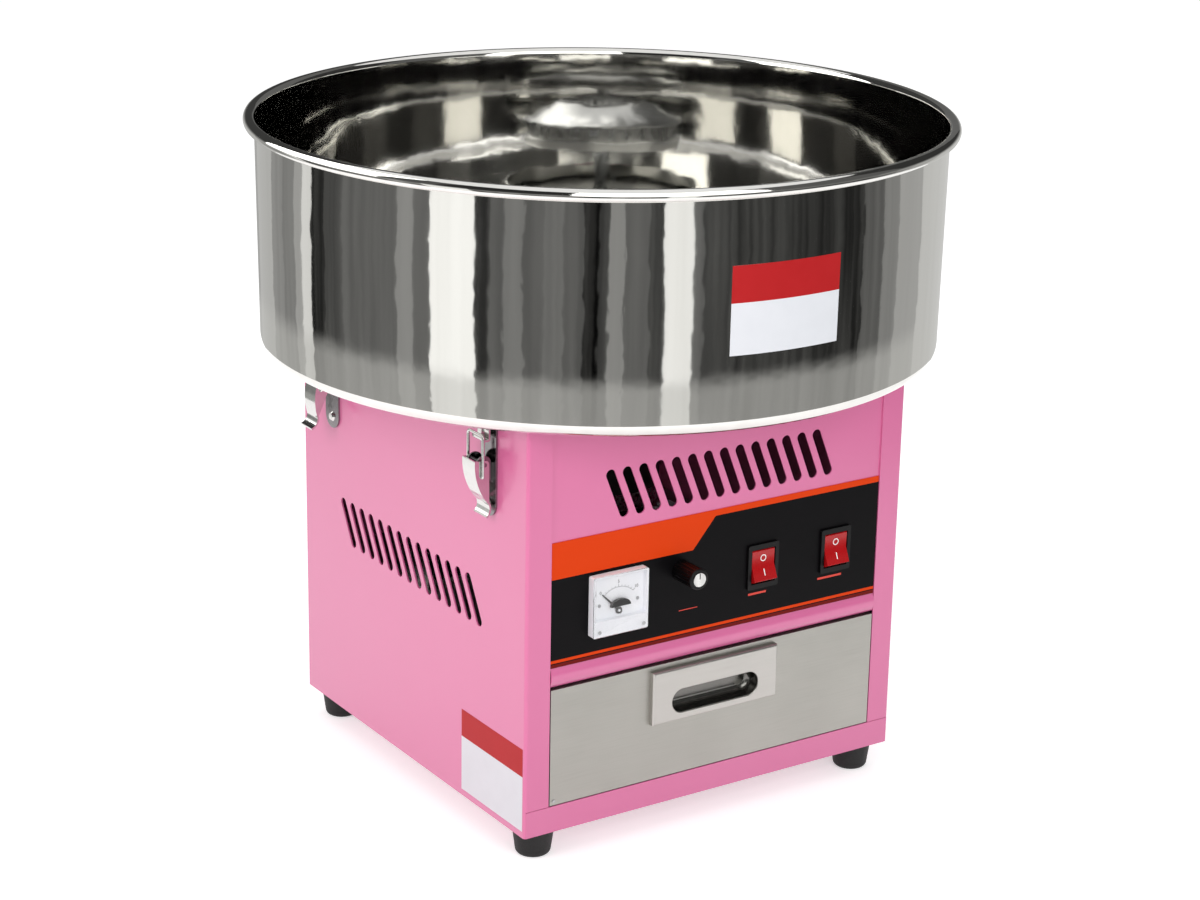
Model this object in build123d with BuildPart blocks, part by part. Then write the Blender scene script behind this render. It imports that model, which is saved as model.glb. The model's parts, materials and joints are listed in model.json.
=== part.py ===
from build123d import *
from math import cos, radians, sin
import os

# Table-top candy floss machine: square sheet steel cabinet, lift-off bowl, electric spinner head.
# Millimetres. +Z up, -Y is the front, and the origin is on the floor under the middle of the cabinet.

os.makedirs("parts", exist_ok=True)

# ---- Cabinet ----
cabinet_width = 326.0
cabinet_depth = 326.0
cabinet_height = 302.0
foot_height = 22.0
sheet = 1.2  # steel sheet of the cabinet
bend_radius = 2.0  # at the sheet's middle
stile_width = 20.0
rail_height = 20.0
mouth_height = 91.0  # drawer opening, from the rail up to the front panel
seam = 0.4  # gap between neighbouring sheets
panel_lap = 7.0  # front and rear panels behind the stiles
rear_screw_low = 38.0
rear_screw_top = 270.0
panel_screw_radius = 1.6
panel_screw_head_radius = 3.2
panel_screw_head_height = 1.8
panel_screw_length = 6.0
deck_flange = 9.0
deck_hole_radius = 20.0
shelf_gap = 4.0  # divider shelf above the front panel's lower edge
shelf_flange = 12.0
shelf_hole_radius = 18.0
shelf_hole_y = 90.0
hem_height = 14.0
hem_bulge = 2.4
hem_return = 9.0

# ---- Vents ----
vent_count = 14
vent_width = 7.6
front_vent_pitch = 13.7
front_vent_height = 245.0  # of the row's middle above the cabinet's lower edge
front_vent_run = 14.5  # sideways from a slot's top end to its lower end
front_vent_drop = 36.0
side_vent_pitch = 14.2
side_vent_height = 157.8
side_vent_run = 19.0
side_vent_drop = 34.5

# ---- Feet ----
foot_inset = 19.5
foot_top_radius = 15.5
foot_tip_radius = 12.5
foot_edge = 4.0
foot_screw_radius = 2.5
foot_screw_head_radius = 5.0
foot_screw_head_height = 3.0
foot_recess_depth = 8.0
foot_recess_radius = 5.5
foot_screw_length = 20.0

# ---- Drawer ----
drawer_gap = 0.8  # round the drawer front in its mouth
drawer_top_gap = 2.0
front_depth = 12.0  # of the folded drawer front
tray_wall = 1.0
tray_inset = 8.0  # tray side inside the drawer's mouth
tray_depth = 255.0
tray_floor_gap = 4.0  # tray floor above the rail
tray_top_gap = 9.0  # tray lip under the mouth's upper edge
tray_corner = 4.0
tray_lip_clearance = 1.0  # lip to runner, sideways
runner_lift = 0.3  # lip over runner
runner_sheet = 1.5
runner_foot = 12.0
runner_shelf = 5.5
runner_length = 250.0
runner_setback = 3.0

# ---- Drawer handle ----
handle_width = 110.0
handle_height = 40.5
handle_depth = 4.5
handle_x = -3.5
handle_top_gap = 4.0  # under the drawer front's upper edge
handle_sheet = 1.2
handle_corner = 1.6
handle_lip = 0.8  # rolled edge of the slot
slot_length = 76.0
slot_height = 18.0
slot_drop = 25.7  # of the slot's middle under the handle's upper edge
pocket_wall = 1.0
pocket_depth = 13.5
pocket_round = 6.0
pocket_clearance = 0.5

# ---- Control panel ----
fascia_thickness = 0.8
fascia_height = 93.0
meter_x = -89.0
meter_height = 166.0
meter_width = 46.0
meter_face_height = 45.0
meter_rim_depth = 8.0
meter_rim_wall = 2.0
meter_barrel_radius = 18.5
meter_barrel_depth = 26.0
meter_window_depth = 2.0
meter_floor_thickness = 1.2
meter_mask_height = 10.0
meter_corner = 1.5
dial_thickness = 0.8
needle_pivot_drop = 6.0  # pivot below the dial's middle
needle_length = 19.5
needle_tail = 3.0
needle_width = 1.2
needle_tip = 0.35
needle_thickness = 0.5
needle_lift = 0.7  # over the dial
needle_pin_length = 1.9
meter_bevel = 1.2
needle_pin_radius = 0.9
needle_hub_radius = 2.6
needle_rest = 45.0  # degrees left of straight up
knob_x = -34.0
knob_height = 178.0
knob_radius = 7.8
knob_length = 22.0
knob_flutes = 18
knob_shaft_radius = 3.0
knob_gap = 0.6
knob_flute_radius = 0.8
knob_round = 1.0
knob_recess_radius = 6.2
knob_recess_depth = 4.0
spindle_depth = 12.0  # of the spindle behind the front panel
spindle_end_gap = 1.0
potentiometer_radius = 16.0
potentiometer_depth = 20.0
bush_radius = 4.5
bush_length = 5.6
bush_nut_radius = 5.4
bush_nut_height = 2.0
switch_places = (37.5, 103.5)
switch_height = 168.0
bezel_width = 27.0
switch_body_width = 24.0
switch_body_height = 30.0
bezel_height = 34.0
bezel_depth = 2.0
bezel_corner = 1.5
rocker_width = 20.0
rocker_gap = 0.5
rocker_tilt = 11.0
rocker_radius = 12.6
rocker_sink = 4.0  # pin behind the bezel's face
rocker_back = 4.0
rocker_crown = 5.8
rocker_edge = 10.6
rocker_valley = 3.4
rocker_pin_reach = 1.2
switch_pocket_depth = 13.0
blade_pitch = 9.0
blade_width = 6.3
blade_thickness = 0.8
blade_length = 8.0
switch_body_depth = 24.0
rocker_pin_radius = 1.5
rocker_pin_gap = 0.2  # pin's end to the bottom of its socket
running_clearance = 0.05

# ---- Bowl ----
bowl_seat = 3.0  # bowl's bottom above the deck, and the gasket's thickness
bowl_radius_low = 250.0  # at the middle of the wall's thickness
bowl_radius_top = 251.5
bowl_corner = 9.0
bowl_wall = 1.0
bead_radius = 3.9  # at the middle of the sheet
bead_height = 471.4  # of the bead's middle above the cabinet's lower edge
bowl_hole_radius = 70.0
collar_height = 12.0
collar_bend = 4.0
bead_sweep = 310.0  # degrees of the rolled edge
gasket_inner = 84.0
gasket_outer = 96.0

# ---- Spinner head ----
shaft_radius = 5.0
shaft_bore = 2.0
shaft_chamfer = 0.5
head_bottom = 351.0  # above the cabinet's lower edge
head_top = 391.0
head_radius = 56.0
head_floor = 3.0
head_rim_height = 8.0
head_hub_height = 15.0
head_hub_radius = 12.0
head_lip = 2.0
band_wall = 1.2
band_slots = 48
band_slot_width = 1.6
band_slot_height = 10.0
band_slot_lift = 3.0  # over the head's rim
cone_wall = 1.5
cone_mouth_radius = 29.0
cone_rise = 18.0
cone_collar = 2.5
heater_radius = 45.0
heater_tube = 3.5
heater_leg_radius = 2.0
heater_lift = 10.0  # tube's middle over the head's floor
cap_nut_radius = 8.5
cap_nut_height = 9.0
cap_nut_flats = 4.5  # height of the six flats
cap_nut_seat_radius = 7.4  # of the round cap
cap_nut_wall = 2.0
cap_nut_round = 3.0

# ---- Motor ----
motor_plate_size = 128.0
motor_plate_thickness = 3.0
damper_height = 32.0
damper_radius = 8.0
damper_inset = 12.0
damper_bore_depth = 6.0
motor_radius = 48.0
stator_height = 58.0
bell_height = 13.0
bell_wall = 3.0
bearing_radius = 13.0
bearing_width = 8.0
motor_screw_radius = 2.0
motor_screw_circle = 41.0
motor_screw_head = 3.8
motor_screw_head_height = 2.4
deck_screw_head_height = 1.8
plate_hole_radius = 9.0
bell_hole_radius = 7.0
rotor_radius = 30.0
rotor_height = 46.0
air_gap = 0.8
fan_radius = 38.0
fan_height = 12.0
fan_hub_radius = 11.0
fan_blades = 9
fan_blade = 1.5
fan_disc = 1.5
fan_sweep = 28.0
fan_gap = 6.0
shaft_tail = 4.0
slip_hub_radius = 13.0
slip_hub_height = 24.0
slip_hub_lift = 3.0
slip_ring_radius = 17.0
slip_ring_width = 6.0
ring_margin = 3.0  # slip ring to the hub's end
brush_width = 5.0
brush_height = 4.0
brush_length = 14.0
brush_gap = 0.3
brush_box_wall = 1.5
brush_show = 2.0
brush_foot_length = 10.0
brush_foot_width = 26.0
brush_foot_height = 2.5

# ---- Heat regulator, terminals, gland ----
regulator_width = 62.0
regulator_height = 48.0
regulator_base = 5.0
regulator_fin_depth = 17.0
regulator_fins = 9
regulator_fin = 1.6
regulator_x = 95.0
regulator_y = 60.0
terminal_count = 6
terminal_pitch = 11.0
terminal_depth = 20.0
terminal_height = 14.0
terminal_hole_radius = 2.2
terminal_hole_depth = 6.0
terminal_barrier = 3.0
gland_x = 110.0
gland_height = 60.0
gland_radius = 11.0
gland_bore = 4.2
gland_flange_radius = 14.5
gland_length = 18.0
gland_flange = 3.5
gland_nut = 4.0

# ---- Latches ----
latch_offset = 114.0  # from the middle of the side, front and rear
latch_width = 20.0
latch_plate = 1.5
latch_pivot_drop = 34.0  # pivot under the cabinet's top
latch_tail = 40.0  # plate's lower end under the pivot
latch_head = 26.0  # plate's upper end over the pivot
latch_pivot_out = 9.0
latch_pin_radius = 1.5
ear_half = 6.4
ear_wall = 1.2
ear_radius = 6.0
ear_foot = 14.0  # of the ear's gusset under the pivot
ear_slope_angle = 45.0
lever_sheet = 1.4
lever_gap = 0.6  # lever side to ear
lever_top = 3.5  # over the pivot
lever_out = 7.5  # lever's outer face from the pivot
lever_belly = (5.6, -12.0)
lever_heel = (-3.4, -28.5)  # where the finger tab starts
lever_curl = (-4.2, -34.0)
lever_tip = (-1.4, -38.5)
lever_eye = 3.2
bail_wire = 1.1
bail_gap = 0.5
bail_pivot_out = 2.6  # from the lever's pivot
bail_pivot_drop = 8.5
bail_lift = 5.5  # crossbar's middle over the strike's hook
bail_bend = 2.4
bail_foot_bend = 1.3
bail_end = ear_half + 0.7  # wire's end inside the lever's side
strike_width = 15.0
strike_plate = 1.5
strike_clearance = 0.4
strike_web_out = 5.0
strike_inner = 20.0
strike_drop = 21.0
strike_lip_rise = 3.5
strike_bend = 1.0
lever_open_at_rest = 24.0  # rear left lever only
bail_ratio = 1.25
rivet_radius = 2.0
rivet_head_radius = 3.9
rivet_head_height = 1.5
rivet_head_taper = 40.0
rivet_tail_radius = 3.2
rivet_tail_height = 1.2
lower_rivet_drop = 31.0  # under the latch's pivot
upper_rivet_rise = 20.0  # over the latch's pivot

# ---- Levels and planes worked out from the sizes above ----
base = foot_height
top = base + cabinet_height
half_width = cabinet_width / 2
half_depth = cabinet_depth / 2
inner_x = half_width - sheet
inner_y = half_depth - sheet
mouth_x = half_width - stile_width
front_y = -half_depth
panel_y = front_y + sheet  # front panel's outer face
panel_back = panel_y + sheet
rail_top = base + rail_height
screw_x = mouth_x + panel_lap / 2
latch_pivot_height = cabinet_height - latch_pivot_drop
latch_bottom = latch_pivot_height - latch_tail
latch_top = latch_pivot_height + latch_head
rivet_heights = (latch_pivot_height - lower_rivet_drop, latch_pivot_height + upper_rivet_rise)
rear_screw_middle = (rear_screw_low + rear_screw_top) / 2
rear_screw_heights = [base + level for level in (rear_screw_low, rear_screw_middle, rear_screw_top)]
mouth_top = rail_top + mouth_height
hem_top = mouth_top + hem_height
shelf_low = mouth_top + shelf_gap
shelf_top = shelf_low + sheet
deck_low = top - sheet
fascia_y = panel_y - fascia_thickness  # fascia's outer face
bowl_low = top + bowl_seat
head_low = base + head_bottom
head_high = base + head_top
plate_top = deck_low - damper_height
plate_low = plate_top - motor_plate_thickness
stator_top = plate_low - bell_height
stator_low = stator_top - stator_height
motor_low = stator_low - bell_height


standing = (Align.CENTER, Align.CENTER, Align.MIN)
hanging = (Align.CENTER, Align.CENTER, Align.MAX)


def front_plane(y):
    """Upright plane facing the front: local x to the right, local y up."""
    return Plane.XZ.offset(-y)


def save(builder, name):
    builder.part.label = name
    export_step(builder.part, f"parts/{name}.step")


def slanted_vents(run, drop, pitch):
    """A row of rounded slots, each leaning to the left at its top, for the sketch it is called in."""
    slant = -Vector(run, -drop, 0).get_angle(Vector(1, 0, 0))
    with GridLocations(pitch, 1, vent_count, 1):
        SlotOverall(Vector(run, drop, 0).length, vent_width, rotation=slant)


# ---- Base pan ----
with BuildPart() as base_pan:
    with Locations((0, -sheet / 2, base + rail_height / 2)):
        Box(2 * inner_x, cabinet_depth - sheet, rail_height)
    fillet(base_pan.edges().filter_by(Axis.Z).group_by(Axis.Y)[-1], bend_radius)
    offset(amount=-sheet, openings=base_pan.faces().sort_by(Axis.Z)[-1])
    with Locations(Plane.XY.offset(base)):
        with GridLocations(cabinet_width - 2 * foot_inset, cabinet_depth - 2 * foot_inset, 2, 2):
            Hole(foot_screw_radius)
save(base_pan, "base_pan")


# ---- Side panels: one sheet each, folded into a front stile and a rear flange ----
middle_x = half_width - sheet / 2
middle_y = half_depth - sheet / 2
left_face = Plane(origin=(-half_width, 0, base), x_dir=(0, -1, 0), z_dir=(-1, 0, 0))
with BuildPart() as side_sheet:
    with BuildSketch(Plane.XY.offset(base)):
        with BuildLine():
            FilletPolyline(
                (-mouth_x, -middle_y), (-middle_x, -middle_y), (-middle_x, middle_y), (-mouth_x, middle_y),
                radius=bend_radius,
            )
        trace(line_width=sheet)
    extrude(amount=cabinet_height)
    with BuildSketch(front_plane(front_y)):  # the base pan's front flange passes under the stile
        with Locations((-(inner_x + mouth_x) / 2, base + (rail_height + seam) / 2)):
            Rectangle(inner_x - mouth_x, rail_height + seam)
    extrude(amount=-sheet - bend_radius, mode=Mode.SUBTRACT)
    with BuildSketch(left_face):
        with Locations([(side * latch_offset, z) for side in (-1, 1) for z in rivet_heights]):
            Circle(rivet_radius)
    extrude(amount=-2 * sheet, mode=Mode.SUBTRACT)
    with BuildSketch(front_plane(inner_y)):
        with Locations([(-screw_x, z) for z in rear_screw_heights]):
            Circle(panel_screw_radius)
    extrude(amount=-sheet, mode=Mode.SUBTRACT)

with BuildPart() as left_side_panel:
    add(side_sheet.part)
    with BuildSketch(left_face):
        with Locations((0, side_vent_height)):
            slanted_vents(side_vent_run, side_vent_drop, side_vent_pitch)
    extrude(amount=-2 * sheet, mode=Mode.SUBTRACT)
save(left_side_panel, "left_side_panel")

with BuildPart() as right_side_panel:  # without vents: no light comes through the front ones from that side
    mirror(side_sheet.part, about=Plane.YZ)
save(right_side_panel, "right_side_panel")


# ---- Rear panel ----
with BuildPart() as rear_panel:
    with BuildSketch(front_plane(inner_y)):
        with Locations((0, (rail_top + seam + top) / 2)):
            Rectangle(2 * (mouth_x + panel_lap), top - rail_top - seam)
        with Locations([(side * screw_x, z) for side in (-1, 1) for z in rear_screw_heights]):
            Circle(panel_screw_radius, mode=Mode.SUBTRACT)
        with Locations((gland_x, base + gland_height)):
            Circle(gland_radius, mode=Mode.SUBTRACT)
    extrude(amount=sheet)
save(rear_panel, "rear_panel")

with BuildPart() as panel_screws:
    for side in (-1, 1):
        for z in rear_screw_heights:
            with BuildSketch(Plane.XZ.offset(-half_depth - panel_screw_head_height)):
                with Locations((side * screw_x, z)):
                    Circle(panel_screw_head_radius)
            extrude(amount=panel_screw_head_height)
            with BuildSketch(Plane.XZ.offset(-half_depth)):
                with Locations((side * screw_x, z)):
                    Circle(panel_screw_radius)
            extrude(amount=panel_screw_length)
save(panel_screws, "panel_screws")


# ---- Front panel: flat sheet with the cut-outs, ending in a rounded hem over the drawer ----
def instrument_holes(meter_hole, bush_hole, switch_width, switch_tall):
    """Cut-outs for the meter's barrel, the knob's bush and the two switches, in a front sketch."""
    with Locations((meter_x, base + meter_height)):
        Circle(meter_hole, mode=Mode.SUBTRACT)
    with Locations((knob_x, base + knob_height)):
        Circle(bush_hole, mode=Mode.SUBTRACT)
    with Locations([(x, base + switch_height) for x in switch_places]):
        Rectangle(switch_width, switch_tall, mode=Mode.SUBTRACT)


hem_middle = panel_y + sheet / 2
with BuildPart() as front_panel:
    with BuildSketch(front_plane(panel_y)):
        with Locations((0, (hem_top + top) / 2)):
            Rectangle(2 * (mouth_x + panel_lap), top - hem_top)
        instrument_holes(meter_barrel_radius, bush_radius, switch_body_width, switch_body_height)
    extrude(amount=-sheet)
    with BuildSketch(front_plane(panel_y)):
        with Locations((0, base + front_vent_height)):
            slanted_vents(front_vent_run, front_vent_drop, front_vent_pitch)
    extrude(amount=-sheet, mode=Mode.SUBTRACT)
    with BuildSketch(Plane.YZ):
        with BuildLine():
            hem_arc = ThreePointArc(
                (hem_middle, hem_top),
                (hem_middle - hem_bulge, hem_top - hem_height / 2),
                (hem_middle, mouth_top + sheet / 2),
            )
            Line(hem_arc @ 1, (hem_middle + hem_return, mouth_top + sheet / 2))
        trace(line_width=sheet)
    extrude(amount=mouth_x - seam, both=True)
save(front_panel, "front_panel")

with BuildPart() as control_fascia:
    with BuildSketch(front_plane(panel_y)):
        with Locations((0, hem_top + (seam + fascia_height) / 2)):
            Rectangle(2 * (mouth_x - seam), fascia_height - seam)
        instrument_holes(meter_barrel_radius, bush_radius, switch_body_width, switch_body_height)
    extrude(amount=fascia_thickness)
save(control_fascia, "control_fascia")


# ---- Top deck and divider shelf: folded sheets inside the cabinet ----
damper_place = motor_plate_size / 2 - damper_inset
with BuildPart() as top_deck:
    with Locations((0, 0, top - deck_flange / 2)):
        Box(2 * inner_x, 2 * -panel_back, deck_flange)
    fillet(top_deck.edges().filter_by(Axis.Z), bend_radius)
    offset(amount=-sheet, openings=top_deck.faces().sort_by(Axis.Z)[0])
    with Locations(Plane.XY.offset(top)):
        Hole(deck_hole_radius)
        with GridLocations(2 * damper_place, 2 * damper_place, 2, 2):
            Hole(motor_screw_radius)
save(top_deck, "top_deck")

shelf_x = inner_x - sheet / 2
with BuildPart() as divider_shelf:
    with BuildSketch(Plane.XZ):
        with BuildLine():
            FilletPolyline(
                (-shelf_x, shelf_top - shelf_flange), (-shelf_x, shelf_top - sheet / 2),
                (shelf_x, shelf_top - sheet / 2), (shelf_x, shelf_top - shelf_flange),
                radius=bend_radius,
            )
        trace(line_width=sheet)
    extrude(amount=-panel_back - seam, both=True)
    with Locations((0, shelf_hole_y, shelf_top)):
        Hole(shelf_hole_radius, depth=2 * sheet)
save(divider_shelf, "divider_shelf")


# ---- Feet and their screws ----
with BuildPart() as foot:
    with BuildSketch(Plane.XZ):
        with BuildLine():
            Polyline(
                (foot_screw_radius, foot_recess_depth), (foot_recess_radius, foot_recess_depth),
                (foot_recess_radius, 0), (foot_tip_radius, 0), (foot_top_radius, base),
                (foot_screw_radius, base), close=True,
            )
        make_face()
        fillet(vertices().group_by(Axis.Y)[0].sort_by(Axis.X)[-1], foot_edge)
    revolve(axis=Axis.Z)
foot_places = GridLocations(cabinet_width - 2 * foot_inset, cabinet_depth - 2 * foot_inset, 2, 2)
with BuildPart() as feet:
    with foot_places:
        add(foot.part)
save(feet, "feet")

with BuildPart() as foot_screws:
    with foot_places:
        with Locations((0, 0, foot_recess_depth - foot_screw_head_height)):
            Cylinder(foot_screw_head_radius, foot_screw_head_height, align=standing)
        with Locations((0, 0, foot_recess_depth)):
            Cylinder(foot_screw_radius, foot_screw_length, align=standing)
save(foot_screws, "foot_screws")


# ---- Bowl, gasket and strikes ----
with BuildPart() as bowl:
    with BuildSketch(Plane.XZ):
        with BuildLine():
            FilletPolyline(
                (bowl_hole_radius + bowl_wall / 2, bowl_low + collar_height),
                (bowl_hole_radius + bowl_wall / 2, bowl_low + bowl_wall / 2),
                (bowl_radius_low, bowl_low + bowl_wall / 2),
                (bowl_radius_top, base + bead_height),
                radius=(collar_bend, bowl_corner),
            )
        trace(line_width=bowl_wall)
        with BuildLine():
            CenterArc((bowl_radius_top + bead_radius, base + bead_height), bead_radius, 180, -bead_sweep)
        trace(line_width=bowl_wall)
    revolve(axis=Axis.Z)
save(bowl, "bowl")

with BuildPart() as bowl_gasket:
    with BuildSketch(Plane.XY.offset(top)):
        Circle(gasket_outer)
        Circle(gasket_inner, mode=Mode.SUBTRACT)
    extrude(amount=bowl_seat)
save(bowl_gasket, "bowl_gasket")


def side_plane(side, y, out=0.0, height=0.0, turn=0.0):
    """Upright plane square to a side face: local x outwards, local y up, both turned by an angle."""
    swing = radians(turn)
    return Plane(
        origin=(side * (half_width + out), y, base + height),
        x_dir=(side * cos(swing), 0, sin(swing)),
        z_dir=(0, -side, 0),
    )


latch_places = {
    "front_left": (-1, -latch_offset, 0.0),
    "rear_left": (-1, latch_offset, lever_open_at_rest),
    "front_right": (1, -latch_offset, 0.0),
    "rear_right": (1, latch_offset, 0.0),
}
lever_half = ear_half + lever_gap + lever_sheet
bail_half = lever_half + bail_gap + bail_wire
crossbar_out = latch_pivot_out + bail_pivot_out
lip_out = crossbar_out - bail_wire - strike_clearance
strike_top = cabinet_height + bowl_seat
strike_low = strike_top - strike_drop
bail_length = strike_low + bail_lift - latch_pivot_height + bail_pivot_drop
ear_slope = sin(radians(ear_slope_angle))

with BuildPart() as bowl_strikes:
    for side, y, _ in latch_places.values():
        with BuildSketch(side_plane(side, y)):
            with BuildLine():
                FilletPolyline(
                    (-strike_inner, strike_top - strike_plate / 2),
                    (strike_web_out, strike_top - strike_plate / 2),
                    (strike_web_out, strike_low + strike_plate / 2),
                    (lip_out - strike_plate / 2, strike_low + strike_plate / 2),
                    (lip_out - strike_plate / 2, strike_low + strike_lip_rise),
                    radius=strike_bend,
                )
            trace(line_width=strike_plate)
        extrude(amount=strike_width / 2, both=True)
save(bowl_strikes, "bowl_strikes")


# ---- Latches ----
with BuildPart() as latch_bases:
    for side, y, _ in latch_places.values():
        plate = Plane(origin=(side * half_width, y, base), x_dir=(0, side, 0), z_dir=(side, 0, 0))
        with BuildSketch(plate):
            with Locations((0, latch_bottom + latch_width / 2)):
                Circle(latch_width / 2)
            with Locations((0, (latch_bottom + latch_width / 2 + latch_top) / 2)):
                Rectangle(latch_width, latch_top - latch_bottom - latch_width / 2)
            with Locations([(0, z) for z in rivet_heights]):
                Circle(rivet_radius, mode=Mode.SUBTRACT)
        extrude(amount=latch_plate)
        for ear in (-1, 1):
            ear_y = y + ear * (ear_half - ear_wall / 2)
            with BuildSketch(side_plane(side, ear_y, latch_pivot_out, latch_pivot_height)):
                Circle(ear_radius)
                Polygon(
                    (latch_plate - latch_pivot_out, 0), (0, 0),
                    (ear_slope * ear_radius, -ear_slope * ear_radius),
                    (latch_plate - latch_pivot_out, -ear_foot), align=None,
                )
            extrude(amount=ear_wall / 2, both=True)
        with BuildSketch(side_plane(side, y, latch_pivot_out, latch_pivot_height)):
            Circle(latch_pin_radius)
        extrude(amount=lever_half, both=True)
save(latch_bases, "latch_bases")

with BuildPart() as latch_rivets:
    for side, y, _ in latch_places.values():
        for z in rivet_heights:
            outside = Plane(origin=(side * (half_width + latch_plate), y, base + z), z_dir=(side, 0, 0))
            with BuildSketch(outside):
                Circle(rivet_radius)
            extrude(amount=-latch_plate - sheet - rivet_tail_height)
            with BuildSketch(outside):
                Circle(rivet_head_radius)
            extrude(amount=rivet_head_height, taper=rivet_head_taper)
            with BuildSketch(outside.offset(-latch_plate - sheet)):
                Circle(rivet_tail_radius)
            extrude(amount=-rivet_tail_height)
save(latch_rivets, "latch_rivets")

for name, (side, y, opened) in latch_places.items():
    with BuildPart() as latch_lever:
        with BuildSketch(side_plane(side, y, latch_pivot_out, latch_pivot_height, opened)):
            with BuildLine():
                face = ThreePointArc((lever_out, lever_top), lever_belly, lever_heel)
                ThreePointArc(face @ 1, lever_curl, lever_tip)
            trace(line_width=lever_sheet)
        extrude(amount=lever_half, both=True)
        for cheek in (-1, 1):
            middle = y + cheek * (lever_half - lever_sheet / 2)
            with BuildSketch(side_plane(side, middle, latch_pivot_out, latch_pivot_height, opened)):
                with BuildLine():
                    face = ThreePointArc((lever_out, lever_top), lever_belly, lever_heel)
                    Line(face @ 1, (-lever_eye, 0))
                    RadiusArc((-lever_eye, 0), (0, lever_eye), lever_eye)
                    Line((0, lever_eye), (lever_out, lever_top))
                make_face()
                Circle(latch_pin_radius + running_clearance, mode=Mode.SUBTRACT)
                with Locations((bail_pivot_out, -bail_pivot_drop)):
                    Circle(bail_wire + running_clearance, mode=Mode.SUBTRACT)
            extrude(amount=lever_sheet / 2, both=True)
    save(latch_lever, f"{name}_latch_lever")

    lean = radians(opened * (bail_ratio - 1))
    lever_plane = side_plane(side, y, latch_pivot_out, latch_pivot_height, opened)
    bail_plane = Plane(
        origin=lever_plane.from_local_coords(Vector(bail_pivot_out, -bail_pivot_drop, 0)),
        x_dir=(0, 1, 0),
        z_dir=(cos(lean), 0, -side * sin(lean)),
    )
    with BuildPart() as latch_bail:
        with BuildLine(bail_plane) as wire:
            FilletPolyline(
                (-bail_end, 0), (-bail_half, 0), (-bail_half, bail_length),
                (bail_half, bail_length), (bail_half, 0), (bail_end, 0),
                radius=(bail_foot_bend, bail_bend, bail_bend, bail_foot_bend),
            )
        with BuildSketch(Plane(origin=wire.wire() @ 0, z_dir=wire.wire() % 0)):
            Circle(bail_wire)
        sweep()
    save(latch_bail, f"{name}_latch_bail")


# ---- Drawer ----
drawer_x = mouth_x - drawer_gap
drawer_low = rail_top + drawer_gap
drawer_high = mouth_top - drawer_top_gap
tray_front = front_y + front_depth
tray_x = mouth_x - tray_inset
tray_low = rail_top + tray_floor_gap
tray_high = mouth_top - tray_top_gap
lip_x = mouth_x - tray_lip_clearance
runner_z = tray_high - tray_wall - runner_lift
handle_high = drawer_high - handle_top_gap
handle_z = handle_high - handle_height / 2
slot_z = handle_high - slot_drop
handle_y = front_y - handle_depth

with BuildPart() as drawer_front:
    with Locations((0, front_y + front_depth / 2, (drawer_low + drawer_high) / 2)):
        Box(2 * drawer_x, front_depth, drawer_high - drawer_low)
    offset(amount=-sheet, openings=drawer_front.faces().sort_by(Axis.Y)[-1])
    with BuildSketch(front_plane(front_y)):
        with Locations((handle_x, slot_z)):
            SlotOverall(
                slot_length + 2 * (pocket_wall + pocket_clearance),
                slot_height + 2 * (pocket_wall + pocket_clearance),
            )
    extrude(amount=-2 * sheet, mode=Mode.SUBTRACT)
save(drawer_front, "drawer_front")

with BuildPart() as drawer_tray:
    with Locations((0, tray_front + tray_depth / 2, (tray_low + tray_high) / 2)):
        Box(2 * tray_x, tray_depth, tray_high - tray_low)
    fillet(drawer_tray.edges().filter_by(Axis.X).group_by(Axis.Z)[0], tray_corner)
    fillet(drawer_tray.edges().filter_by(Axis.Y).group_by(Axis.Z)[0], tray_corner)
    offset(amount=-tray_wall, openings=drawer_tray.faces().sort_by(Axis.Z)[-1])
    lip_z = tray_high - tray_wall / 2
    with Locations([(side * (tray_x + lip_x) / 2, tray_front + tray_depth / 2, lip_z) for side in (-1, 1)]):
        Box(lip_x - tray_x, tray_depth, tray_wall)
save(drawer_tray, "drawer_tray")

with BuildPart() as drawer_handle:
    with Locations((handle_x, front_y - handle_depth / 2, handle_z)):
        Box(handle_width, handle_depth, handle_height)
    fillet(drawer_handle.faces().sort_by(Axis.Y)[0].edges(), handle_corner)
    offset(amount=-handle_sheet, openings=drawer_handle.faces().sort_by(Axis.Y)[-1])
    with BuildSketch(front_plane(handle_y)):
        with Locations((handle_x, slot_z)):
            SlotOverall(slot_length, slot_height)
    extrude(amount=-2 * handle_sheet, mode=Mode.SUBTRACT)
    fillet(drawer_handle.faces().sort_by(Axis.Y)[0].inner_wires()[0].edges(), handle_lip)
save(drawer_handle, "drawer_handle")

with BuildPart() as handle_pocket:
    with BuildSketch(front_plane(handle_y + handle_sheet)):
        with Locations((handle_x, slot_z)):
            SlotOverall(slot_length + 2 * pocket_wall, slot_height + 2 * pocket_wall)
    extrude(amount=handle_sheet - pocket_depth)
    fillet(handle_pocket.faces().sort_by(Axis.Y)[-1].edges(), pocket_round)
    offset(amount=-pocket_wall, openings=handle_pocket.faces().sort_by(Axis.Y)[0])
save(handle_pocket, "handle_pocket")

with BuildPart() as drawer_runners:
    for side in (-1, 1):
        with BuildSketch(front_plane(tray_front + runner_setback)):
            with BuildLine():
                FilletPolyline(
                    (side * (mouth_x + runner_foot), shelf_low - runner_sheet / 2),
                    (side * (mouth_x + runner_sheet / 2), shelf_low - runner_sheet / 2),
                    (side * (mouth_x + runner_sheet / 2), runner_z - runner_sheet / 2),
                    (side * (mouth_x - runner_shelf), runner_z - runner_sheet / 2),
                    radius=bend_radius,
                )
            trace(line_width=runner_sheet)
        extrude(amount=-runner_length)
save(drawer_runners, "drawer_runners")


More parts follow.
